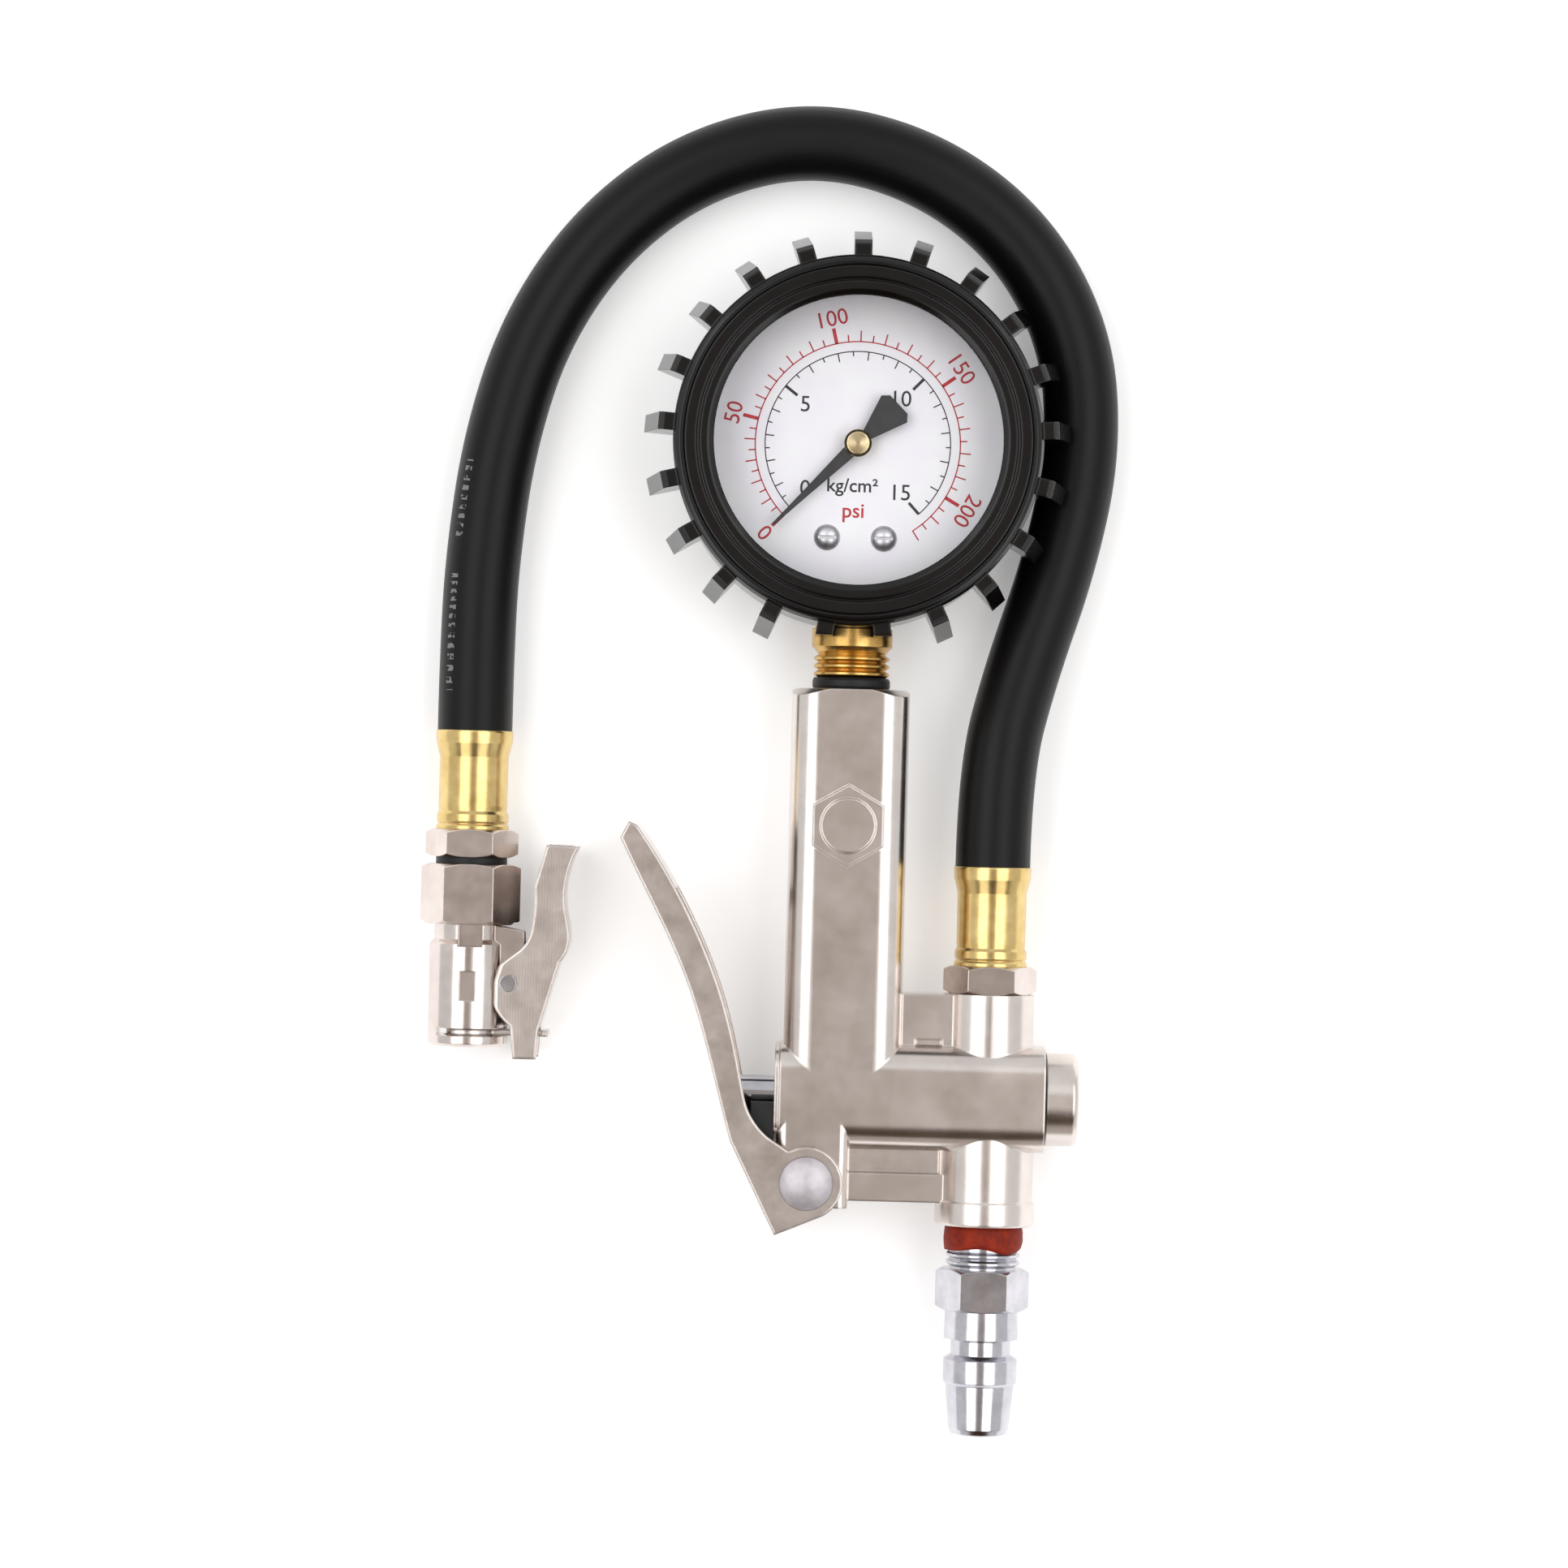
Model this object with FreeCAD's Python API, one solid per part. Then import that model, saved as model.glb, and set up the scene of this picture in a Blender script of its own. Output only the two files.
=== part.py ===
import FreeCAD, Part
import math
import os

V = FreeCAD.Vector

# Hand-held tyre inflator with a dial gauge, a short hose and a clip-on chuck, lying on its back.
# Millimetres. X runs across the handle, Y along it towards the gauge, Z up through the dial.
# Shapes are drawn about the handle's long axis, and moved to ORIGIN as they are written.

# ---- driving sizes -------------------------------------------------------------------------
ORIGIN = V(1.0, -10.55, 0.0)     # middle of the base of the rigid gun, measured from the handle's axis
MID_Z = 11.7                     # height of the gun's middle plane above the table
RUN_GAP = 0.05                   # radial clearance of a shaft in its hole
FREE_GAP = 0.3                   # clearance between pieces that only pass each other

# die-cast body
HANDLE_W = 20.3
HANDLE_D = 18.0
HANDLE_TOP = 14.1
HANDLE_CORNER = 4.8
HANDLE_TOP_SLOPE = 30.0          # degrees
HANDLE_TOP_R = 9.6               # radius at which the turned chamfer starts on the top face
BARREL_Y = -56.1
BARREL_HALF = 9.0
BARREL_CORNER = 4.9
BARREL_LEFT = -11.5
BARREL_RIGHT = 35.1
COLLAR_STEP = 0.4
COLLAR_LEN = 0.8
PORT_X = 25.4
HOSE_PORT_R = 7.8
HOSE_PORT_TOP = -38.0
INLET_PORT_R = 8.3
INLET_PORT_END = -78.0
INLET_COLLAR_R = 8.6
INLET_COLLAR_LEN = 4.0
EAR_LEFT = -10.9
EAR_RIGHT = 1.5
EAR_END = -75.2
RIB_RIGHT = 19.0
RIB_END = -74.2
RIB_TOP = -69.3
RIB_HALF = 4.0
RIB_WEB_HALF = 2.0
WEB_TOP = -38.2
WEB_HALF = 4.6
BOSS_Y = -9.4
BOSS_HEX_R = 7.0
BOSS_HEX_H = 0.9
BOSS_DISC_R = 4.7
BOSS_DISC_H = 0.8

# bores of the body
CHAMBER_R = 4.0
BUSH_R = 4.6
SEAT_R = 6.2
SEAL_LEFT = -4.0
CHAMBER_LEFT = -2.0
SEAT_LEFT = 13.5
SEAT_LEN = 6.0
AIRWAY_R = 2.0
CROSSWAY_Y = -43.0
GAUGE_SOCKET_DEPTH = 12.0
HOSE_SOCKET_DEPTH = 9.0
INLET_SOCKET_DEPTH = 10.0

# valve
SPINDLE_R = 3.0
SPINDLE_STEM_R = 1.8
SPINDLE_STEP_X = 2.0
SPINDLE_DOME_R = 8.0
POPPET_R = 4.6
POPPET_LEN = 3.2
POPPET_SEAL_LEN = 1.0
POPPET_LIFT = 0.1
VALVE_SPRING_R = 3.3
VALVE_SPRING_WIRE = 0.8
CAP_R = 8.06
CAP_SEAL_LEN = 0.3
CAP_LEN = 5.6
CAP_THREAD_LEN = 8.0
CAP_POCKET_R = 4.5

# squeeze lever
PIVOT_X = -5.65
PIVOT_Y = -70.9
PIVOT_R = 2.0
LEVER_INSIDE = 9.3               # half width between the lever's cheeks
LEVER_SHEET = 1.5
LEVER_FACE_X = -20.45            # the lever's outer face on the barrel's axis, with its clearance
SPINDLE_TIP_X = LEVER_FACE_X + LEVER_SHEET
CHEEK_R = 6.3
RIVET_HEAD_R = 4.65
RIVET_HEAD_H = 1.5
RIVET_TAIL_R = 3.6
RIVET_TAIL_H = 0.7
RIVET_PLAY = 0.15
BUFFER_LEFT = -15.5
BUFFER_TOP = -57.4
BUFFER_END = -63.6
BUFFER_HALF = 8.0
BUFFER_PEG_R = 1.2
BUFFER_PEG_LEN = 3.0

# threaded unions
G14_R = 6.58                     # outside radius of a G 1/4 pipe thread
G14_PITCH = 1.337
G14_DEPTH = 0.8
UNION_HEX_AF = 14.0
UNION_HEX_LEN = 4.8
UNION_THREAD_R = 5.2
UNION_BORE_R = 2.2
BARB_R = 3.3
FERRULE_LEN = 17.2
FERRULE_COLLAR = 1.6
FERRULE_MOUTH_R = 6.76
FERRULE_WAIST_R = 6.0
FERRULE_FOOT_R = 6.35
FERRULE_BORE_R = 5.2
HOSE_R = 6.5

# air inlet plug
PLUG_SEAL_END = -82.5
PLUG_SEAL_R = 6.6
PLUG_THREAD_END = -85.6
PLUG_HEX_END = -92.8
PLUG_BODY_R = 6.4
PLUG_BODY_END = -97.7
PLUG_NECK_R = 5.15
PLUG_NECK_END = -100.5
PLUG_RIDGE_R = 6.4
PLUG_RIDGE_TOP = -101.3
PLUG_RIDGE_END = -105.2
PLUG_NOSE_R = 5.9
PLUG_TIP_R = 5.3
PLUG_TIP = -114.5
PLUG_BORE_R = 3.0

# gauge
DIAL_Y = 56.4
BOOT_R = 31.7
BOOT_H = 28.0
BOOT_BORE_R = 30.0
BOOT_WINDOW_R = 24.7
BOOT_BACK_R = 22.0
BOOT_BACK_T = 1.6
BOOT_LIP_T = 1.7
BOOT_GROOVES = (30.0, 27.4)       # radii of the two fine rings in the front face
TEETH = 21
SHORT_TOOTH = 1.6                # the two teeth beside the stem stand out only this far
TOOTH_W = 3.0
TOOTH_BACK_R = 37.0
TOOTH_FRONT_R = 34.3
TOOTH_BACK_Z = 13.7
TOOTH_FRONT_Z = 26.6
CASE_R = 28.6
CASE_WALL = 0.8
CASE_BACK_Z = 1.8
CASE_RIM_Z = 22.0
CASE_SCREW_X = 4.5
CASE_SCREW_Y = 38.0
CASE_SCREW_R = 1.2
CASE_SCREW_HEAD_R = 2.1
CASE_SCREW_HEAD_H = 0.9
BEZEL_R = 29.8
BEZEL_SKIRT_Z = 18.7
BEZEL_LIP_R = 25.6
BEZEL_LIP_T = 1.2
GASKET_T = 0.9
GASKET_R = 26.2
LENS_T = 2.0
DIAL_R = 26.0
DIAL_Z = 15.8
DIAL_T = 0.6
DIAL_SCREW_X = 4.9
DIAL_SCREW_DY = -16.2
DIAL_SCREW_HEAD_R = 2.25
POINTER_Z = 18.0
POINTER_T = 0.5
POINTER_REACH = 20.2
POINTER_TAIL = 9.7
POINTER_REST = 225.0             # direction of zero on the dial, degrees
HUB_R = 2.4
STEM_SHOULDER_R = 7.0
STEM_SHOULDER_END = 21.0
STEM_NECK_R = 6.4
STEM_SEAL_T = 2.0
STEM_BORE_R = 1.3
BLOCK_HALF_W = 7.6
BLOCK_TOP_Y = 46.0
BLOCK_BACK_Z = 5.0
BLOCK_FRONT_Z = 12.5
TUBE_R = 21.5                    # mean radius of the Bourdon tube
TUBE_T = 3.2
TUBE_W = 7.0
TUBE_WALL = 0.4
TUBE_Z = 5.4
TUBE_START = 15.0                # direction of the tube's free end, degrees
TUBE_SWEEP = 243.0
TIP_SWEEP = 16.0
PLATE_R = 15.5
PLATE_T = 0.8
BACK_PLATE_Z = 6.2
GEAR_MODULE = 0.28
PINION_TEETH = 10
SECTOR_RATIO = 8
GEAR_Z = 8.5
GEAR_T = 1.0
SECTOR_AT = 330.0                # direction of the sector's pivot seen from the dial's centre
SECTOR_TAIL = 4.0
TAIL_TURN = -16.9                # the tail swings evenly about the line square to the link
ARBOR_R = 0.6
LINK_Z = 9.7
LINK_T = 0.6
LINK_HALF_W = 1.25

# chuck
CHUCK_X = -65.3
CHUCK_Z = 7.6
CHUCK_FERRULE_TOP = 5.35
CHUCK_WASHER_T = 1.2
CHUCK_WASHER_R = 6.2
CHUCK_HEX_AF = 15.0
CHUCK_HEX_LEN = 10.5
CHUCK_NECK_R = 6.1
CHUCK_NECK_LEN = 3.4
CHUCK_R = 6.9
CHUCK_END = -49.5
CHUCK_BORE_R = 4.1
CHUCK_SEAL_Y = -38.0
CHUCK_SEAL_LEN = 3.0
CHUCK_SEAL_R = 4.8
CHUCK_SEAL_BORE_R = 2.0
CHUCK_AIRWAY_R = 2.6
DEPRESSOR_R = 0.9
DEPRESSOR_SHY = 0.1              # how far its tip stays inside the seal
CHUCK_LEVER_TRAVEL = 16.0        # degrees
CHUCK_PIVOT_DX = 7.2
CHUCK_PIVOT_Y = -38.3
CHUCK_PIVOT_R = 0.9
CHUCK_EAR_IN = 2.0
CHUCK_EAR_OUT = 4.0
CHUCK_LEVER_IN = 4.3
CHUCK_LEVER_OUT = 5.4
CHUCK_LEVER_SHEET = 1.1
JAW_Y = -47.0
JAW_T = 1.0
JAW_HALF_W = 3.0
JAW_HOLE_R = 4.5
JAW_BITE = 2.1
JAW_HEAD_HALF_W = 4.1

# hose centreline from the body's ferrule round to the chuck's, hand-laid on the table
HOSE_ROUTE = [
    V(PORT_X, -16.0, MID_Z), V(PORT_X, 1.0, MID_Z), V(29.6, 18.0, 8.2), V(36.0, 37.5, 6.5),
    V(39.6, 57.0, 6.5), V(37.8, 76.5, 6.5), V(27.8, 94.0, 6.5), V(11.0, 106.0, 6.5),
    V(-9.0, 110.6, 6.5), V(-29.0, 105.4, 6.5), V(-45.2, 93.0, 6.5), V(-56.6, 75.6, 6.5),
    V(-62.4, 55.8, 6.5), V(-64.8, 36.0, 6.5), V(CHUCK_X, 20.2, CHUCK_Z),
    V(CHUCK_X, CHUCK_FERRULE_TOP, CHUCK_Z),
]

AXES = {"X": V(1, 0, 0), "Y": V(0, 1, 0), "Z": V(0, 0, 1)}


# ---- drawing helpers -----------------------------------------------------------------------
def rod(radius, start, end):
    """A plain cylinder between two points."""
    along = end - start
    return Part.makeCylinder(radius, along.Length, start, along)


def ring(outer, inner, start, end):
    """A cylinder with a hole through it."""
    return rod(outer, start, end).cut(rod(inner, start, end))


def box(low, high):
    """A block between two corners."""
    size = high - low
    return Part.makeBox(size.x, size.y, size.z, low)


def turned(profile, origin, axis="Y"):
    """A closed (place along the axis, radius) outline turned about an axis through origin."""
    along = AXES[axis]
    side = AXES["X"] if axis != "X" else AXES["Y"]
    points = [origin + along * s + side * r for s, r in profile]
    face = Part.Face(Part.makePolygon(points + points[:1]))
    return face.revolve(origin, along, 360.0)


def plate(points, low_z, high_z):
    """A flat (x, y) outline made thick between two heights."""
    corners = [V(x, y, low_z) for x, y in points]
    face = Part.Face(Part.makePolygon(corners + corners[:1]))
    return face.extrude(V(0, 0, high_z - low_z))


def hexagon(across_flats, centre, along, length, turn=0.0):
    """A hexagonal bar along X, Y or Z; at turn 0 a flat faces up the bar's first cross axis."""
    radius = across_flats / math.sqrt(3.0)
    cross = {"Y": (AXES["Z"], AXES["X"]), "Z": (AXES["X"], AXES["Y"])}[along]
    angles = [math.radians(turn + 30.0 + 60.0 * k) for k in range(6)]
    points = [centre + cross[0] * (radius * math.cos(a)) + cross[1] * (radius * math.sin(a)) for a in angles]
    return Part.Face(Part.makePolygon(points + points[:1])).extrude(AXES[along] * length)


def chamfered_hex(across_flats, centre, length, ends=(True, True)):
    """A nut-like hexagon along -Y from centre, its corners turned off at the named ends."""
    body = hexagon(across_flats, centre, "Y", -length)
    corner = across_flats / math.sqrt(3.0)
    flat = across_flats / 2.0
    drop = (corner - flat) * math.tan(math.radians(30.0))
    top = flat if ends[0] else corner + 1.0
    low = flat if ends[1] else corner + 1.0
    profile = [(0, 0), (0, top), (-drop, corner + 0.02), (drop - length, corner + 0.02), (-length, low),
               (-length, 0)]
    return body.common(turned(profile, centre))


def rounded_bar(low, high, axis, radius):
    """A block whose four long edges, along the axis, are rounded."""
    body = box(low, high)
    long_edges = []
    for edge in body.Edges:
        direction = edge.Vertexes[1].Point - edge.Vertexes[0].Point
        if abs(direction.dot(AXES[axis])) > 0.99 * direction.Length:
            long_edges.append(edge)
    return body.makeFillet(radius, long_edges)


def polar(radius, degrees, centre_y=DIAL_Y, z=0.0):
    """A point at a direction and distance from the dial's centre."""
    a = math.radians(degrees)
    return V(radius * math.cos(a), centre_y + radius * math.sin(a), z)


def coil(start, along, length, mean_radius, wire_radius, turns):
    """A helical spring with open ends, along +X or +Z."""
    helix = Part.makeHelix(length / turns, length, mean_radius)
    section = Part.Wire(Part.makeCircle(wire_radius, V(mean_radius, 0, 0),
                                        V(0, 1, length / turns / 6.283 / mean_radius)))
    spring = Part.Wire(helix).makePipeShell([section], True, True)
    if along == "X":
        spring.rotate(V(0, 0, 0), AXES["Y"], 90.0)
    spring.translate(start)
    return spring


def threaded(radius, start, end, pitch, depth):
    """(place, radius) points of a V-grooved length, for a turned outline running from start to end."""
    step = pitch if end > start else -pitch
    count = int(abs(end - start) / pitch)
    points = [(start, radius - depth)]
    for k in range(count):
        base = start + k * step
        points += [(base + 0.35 * step, radius), (base + 0.65 * step, radius),
                   (base + step, radius - depth)]
    return points


# ---- body ----------------------------------------------------------------------------------
def valve_body():
    """The die-cast handle, barrel, ports, ear and ribs, with every bore cut through them."""
    mid = MID_Z
    handle = rounded_bar(V(-HANDLE_W / 2, BARREL_Y, mid - HANDLE_D / 2),
                         V(HANDLE_W / 2, HANDLE_TOP, mid + HANDLE_D / 2), "Y", HANDLE_CORNER)
    drop = (HANDLE_W - HANDLE_TOP_R) * math.tan(math.radians(HANDLE_TOP_SLOPE))
    top_cone = [(HANDLE_TOP, 0), (HANDLE_TOP, HANDLE_TOP_R), (HANDLE_TOP - drop, HANDLE_W),
                (BARREL_Y, HANDLE_W), (BARREL_Y, 0)]
    handle = handle.common(turned(top_cone, V(0, 0, mid)))

    barrel = rounded_bar(V(BARREL_LEFT + COLLAR_LEN, BARREL_Y - BARREL_HALF, mid - BARREL_HALF),
                         V(BARREL_RIGHT, BARREL_Y + BARREL_HALF, mid + BARREL_HALF), "X", BARREL_CORNER)
    step = BARREL_HALF - COLLAR_STEP
    collar = rounded_bar(V(BARREL_LEFT, BARREL_Y - step, mid - step),
                         V(BARREL_LEFT + 2 * COLLAR_LEN, BARREL_Y + step, mid + step), "X",
                         BARREL_CORNER - COLLAR_STEP)

    hose_port = rod(HOSE_PORT_R, V(PORT_X, BARREL_Y, mid), V(PORT_X, HOSE_PORT_TOP, mid))
    inlet_port = rod(INLET_PORT_R, V(PORT_X, BARREL_Y, mid), V(PORT_X, INLET_PORT_END, mid))
    collar_start = INLET_PORT_END + INLET_COLLAR_LEN
    slant = INLET_COLLAR_R - INLET_PORT_R
    inlet_collar = turned([(collar_start + slant, 0), (collar_start + slant, INLET_PORT_R),
                           (collar_start, INLET_COLLAR_R),
                           (INLET_PORT_END + slant, INLET_COLLAR_R), (INLET_PORT_END, INLET_PORT_R),
                           (INLET_PORT_END, 0)],
                          V(PORT_X, 0, mid))
    web = box(V(HANDLE_W / 2 - 3.0, BARREL_Y, mid - WEB_HALF), V(PORT_X - 5.0, WEB_TOP, mid + WEB_HALF))
    rib = box(V(EAR_RIGHT - 2.0, RIB_END, mid - RIB_HALF), V(RIB_RIGHT, RIB_TOP, mid + RIB_HALF))
    rib_web = box(V(EAR_RIGHT - 2.0, RIB_TOP, mid - RIB_WEB_HALF), V(RIB_RIGHT, BARREL_Y, mid + RIB_WEB_HALF))
    ear = rounded_bar(V(EAR_LEFT, EAR_END, mid - BARREL_HALF), V(EAR_RIGHT, BARREL_Y, mid + BARREL_HALF),
                      "Y", 1.6)

    front = mid + HANDLE_D / 2
    boss = hexagon(BOSS_HEX_R * math.sqrt(3.0), V(0, BOSS_Y, front - 0.6), "Z", BOSS_HEX_H + 0.6, 0.0)
    disc = rod(BOSS_DISC_R, V(0, BOSS_Y, front), V(0, BOSS_Y, front + BOSS_HEX_H + BOSS_DISC_H))

    body = handle.multiFuse([barrel, collar, hose_port, inlet_port, inlet_collar, web, rib, rib_web, ear,
                             boss, disc])

    axis = V(0, BARREL_Y, mid)
    cuts = [
        rod(BUSH_R, axis + V(BARREL_LEFT, 0, 0), axis + V(CHAMBER_LEFT, 0, 0)),
        rod(CHAMBER_R, axis + V(CHAMBER_LEFT, 0, 0), axis + V(SEAT_LEFT, 0, 0)),
        rod(SEAT_R, axis + V(SEAT_LEFT, 0, 0), axis + V(BARREL_RIGHT, 0, 0)),
        rod(G14_R, V(0, HANDLE_TOP - GAUGE_SOCKET_DEPTH, mid), V(0, HANDLE_TOP, mid)),
        rod(AIRWAY_R, V(0, BARREL_Y, mid), V(0, HANDLE_TOP - GAUGE_SOCKET_DEPTH, mid)),
        rod(AIRWAY_R, V(0, CROSSWAY_Y, mid), V(PORT_X, CROSSWAY_Y, mid)),
        rod(UNION_THREAD_R, V(PORT_X, HOSE_PORT_TOP - HOSE_SOCKET_DEPTH, mid),
            V(PORT_X, HOSE_PORT_TOP, mid)),
        rod(G14_R, V(PORT_X, INLET_PORT_END, mid), V(PORT_X, INLET_PORT_END + INLET_SOCKET_DEPTH, mid)),
        rod(PLUG_BORE_R, V(PORT_X, INLET_PORT_END, mid), V(PORT_X, BARREL_Y, mid)),
        rod(PIVOT_R, V(PIVOT_X, PIVOT_Y, 0), V(PIVOT_X, PIVOT_Y, 2 * mid)),
        box(V(HANDLE_W / 2 + 2.5, BARREL_Y + BARREL_HALF + 0.1, mid + WEB_HALF - 1.0),
            V(PORT_X - HOSE_PORT_R - 0.4, BARREL_Y + BARREL_HALF + 1.1, mid + WEB_HALF + 1.0)),
    ]
    cuts += buffer_pegs()
    for tool in cuts:
        body = body.cut(tool)
    return body


def buffer_pegs():
    """The two pegs that hold the rubber buffer on the barrel's end face."""
    pegs = []
    for side in (-1, 1):
        at = V(BARREL_LEFT, BARREL_Y - 5.6, MID_Z + side * 4.2)
        pegs.append(rod(BUFFER_PEG_R, at, at + V(BUFFER_PEG_LEN, 0, 0)))
    return pegs


def lever_buffer():
    """A rubber saddle under the spindle that the lever comes to rest on."""
    outline = [(BUFFER_LEFT, BUFFER_TOP), (BUFFER_LEFT, BUFFER_TOP - 3.0), (BUFFER_LEFT + 1.2, BUFFER_END),
               (BARREL_LEFT, BUFFER_END), (BARREL_LEFT, BUFFER_TOP)]
    block = plate(outline, MID_Z - BUFFER_HALF, MID_Z + BUFFER_HALF)
    axis = V(0, BARREL_Y, MID_Z)
    bore = rod(SPINDLE_R + FREE_GAP, axis + V(BUFFER_LEFT - 1, 0, 0), axis + V(BARREL_LEFT + 1, 0, 0))
    return block.cut(bore).multiFuse(buffer_pegs())


def guide_bush():
    axis = V(0, BARREL_Y, MID_Z)
    return ring(BUSH_R, SPINDLE_R + RUN_GAP, axis + V(BARREL_LEFT, 0, 0), axis + V(SEAL_LEFT, 0, 0))


def rod_seal():
    axis = V(0, BARREL_Y, MID_Z)
    return ring(BUSH_R, SPINDLE_R + RUN_GAP, axis + V(SEAL_LEFT, 0, 0), axis + V(CHAMBER_LEFT, 0, 0))


def valve_seat():
    axis = V(0, BARREL_Y, MID_Z)
    return ring(SEAT_R, SPINDLE_R, axis + V(SEAT_LEFT, 0, 0), axis + V(SEAT_LEFT + SEAT_LEN, 0, 0))


def spindle():
    """The push rod: a guided shank with a domed tip, and a thin stem that carries the poppet."""
    end = SEAT_LEFT + SEAT_LEN + POPPET_LIFT + POPPET_LEN + 1.5
    dome = SPINDLE_DOME_R - math.sqrt(SPINDLE_DOME_R ** 2 - SPINDLE_R ** 2)
    shank = rod(SPINDLE_R, V(SPINDLE_TIP_X, 0, 0), V(SPINDLE_STEP_X, 0, 0))
    ball = Part.makeSphere(SPINDLE_DOME_R, V(SPINDLE_TIP_X + SPINDLE_DOME_R, 0, 0))
    tail = rod(SPINDLE_R, V(SPINDLE_TIP_X + dome, 0, 0), V(SPINDLE_STEP_X, 0, 0))
    stem = rod(SPINDLE_STEM_R, V(SPINDLE_STEP_X, 0, 0), V(end, 0, 0))
    shape = shank.common(ball).multiFuse([tail, stem])
    shape.translate(V(0, BARREL_Y, MID_Z))
    return shape.removeSplitter()


def poppet():
    start = SEAT_LEFT + SEAT_LEN + POPPET_LIFT + POPPET_SEAL_LEN
    end = start + POPPET_LEN - POPPET_SEAL_LEN
    axis = V(0, BARREL_Y, MID_Z)
    return ring(POPPET_R, SPINDLE_STEM_R, axis + V(start, 0, 0), axis + V(end, 0, 0))


def poppet_seal():
    start = SEAT_LEFT + SEAT_LEN + POPPET_LIFT
    axis = V(0, BARREL_Y, MID_Z)
    return ring(POPPET_R - 0.2, SPINDLE_STEM_R, axis + V(start, 0, 0),
                axis + V(start + POPPET_SEAL_LEN, 0, 0))


def cap_floor():
    """X of the bottom of the end cap's spring pocket."""
    return BARREL_RIGHT - 1.2


def valve_spring():
    start = SEAT_LEFT + SEAT_LEN + POPPET_LIFT + POPPET_LEN + VALVE_SPRING_WIRE / 2 + 0.05
    length = cap_floor() - start - VALVE_SPRING_WIRE / 2 - 0.05
    return coil(V(start, BARREL_Y, MID_Z), "X", length, VALVE_SPRING_R, VALVE_SPRING_WIRE / 2, 6)


def end_cap():
    """The screwed plug that closes the barrel and backs the valve spring."""
    flange = BARREL_RIGHT + CAP_SEAL_LEN
    end = flange + CAP_LEN
    foot = BARREL_RIGHT - CAP_THREAD_LEN
    profile = [(foot, CAP_POCKET_R), (foot, SEAT_R - 0.4), (foot + 0.4, SEAT_R), (flange, SEAT_R),
               (flange, CAP_R),
               (end - 0.9, CAP_R), (end - 0.25, CAP_R - 0.35), (end, CAP_R - 1.1), (end, 0),
               (cap_floor(), 0),
               (cap_floor(), CAP_POCKET_R)]
    return turned(profile, V(0, BARREL_Y, MID_Z), "X")


def end_cap_seal():
    axis = V(0, BARREL_Y, MID_Z)
    return ring(CAP_R + 0.25, SEAT_R, axis + V(BARREL_RIGHT, 0, 0),
                axis + V(BARREL_RIGHT + CAP_SEAL_LEN, 0, 0))


# ---- squeeze lever -------------------------------------------------------------------------
LEVER_OUTER = [(-39.0, -12.4), (-34.3, -21.6), (-29.7, -30.6), (-26.3, -38.6), (-23.6, -47.0),
               (-18.9, -63.9), (-10.9, -79.9)]
LEVER_INNER = [(-15.9, -58.6), (-17.0, -54.6), (-20.6, -40.0), (-26.6, -25.8), (-33.0, -14.8),
               (-36.2, -10.2), (-37.6, -9.6)]


def smooth_plate(line, low_z, high_z, curves):
    """A thick outline whose named point runs are curves through their points, the rest straight."""
    edges = []
    start = 0
    for first, last in curves + [(len(line), len(line))]:
        for k in range(start, min(first, len(line) - 1)):
            edges.append(Part.makeLine(V(*line[k], low_z), V(*line[k + 1], low_z)))
        if first < len(line):
            spline = Part.BSplineCurve()
            spline.interpolate([V(*p, low_z) for p in line[first:last + 1]])
            edges.append(spline.toShape())
        start = last
    edges.append(Part.makeLine(V(*line[-1], low_z), V(*line[0], low_z)))
    return Part.Face(Part.Wire(edges)).extrude(V(0, 0, high_z - low_z))


def cheek_points():
    """The cheek's edge round the pivot, from its lower corner up over the top to the hollow."""
    points = []
    for degrees in range(-60, 121, 15):
        a = math.radians(degrees)
        points.append((PIVOT_X + CHEEK_R * math.cos(a), PIVOT_Y + CHEEK_R * math.sin(a)))
    return points + [(-12.3, -63.2), (-14.6, -60.8)]


def inset(line, distance):
    """The same run of points moved to its left-hand side by a distance."""
    moved = []
    for k, (x, y) in enumerate(line):
        x0, y0 = line[max(k - 1, 0)]
        x1, y1 = line[min(k + 1, len(line) - 1)]
        run = math.hypot(x1 - x0, y1 - y0)
        moved.append((x - (y1 - y0) / run * distance, y + (x1 - x0) / run * distance))
    return moved


def lever():
    """A pressed channel: a curved web to squeeze and two cheeks that straddle the body's ear."""
    half = LEVER_INSIDE + LEVER_SHEET
    outline = LEVER_OUTER + cheek_points() + LEVER_INNER
    first_inner = len(LEVER_OUTER) + len(cheek_points())
    curves = [(0, len(LEVER_OUTER) - 2), (first_inner - 2, first_inner + len(LEVER_INNER) - 2)]
    solid = smooth_plate(outline, MID_Z - half, MID_Z + half, curves)
    web_line = inset(LEVER_OUTER, LEVER_SHEET)[1:]
    end_x, end_y = web_line[-1]
    web_line += [(end_x + 1.0, end_y - 4.0), (20.0, -90.0), (20.0, -20.0)]
    hollow = smooth_plate(web_line, MID_Z - LEVER_INSIDE, MID_Z + LEVER_INSIDE, [(0, 3)])
    hole = rod(PIVOT_R + RUN_GAP, V(PIVOT_X, PIVOT_Y, -1), V(PIVOT_X, PIVOT_Y, 2 * MID_Z + 1))
    return solid.cut(hollow).cut(hole)


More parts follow.
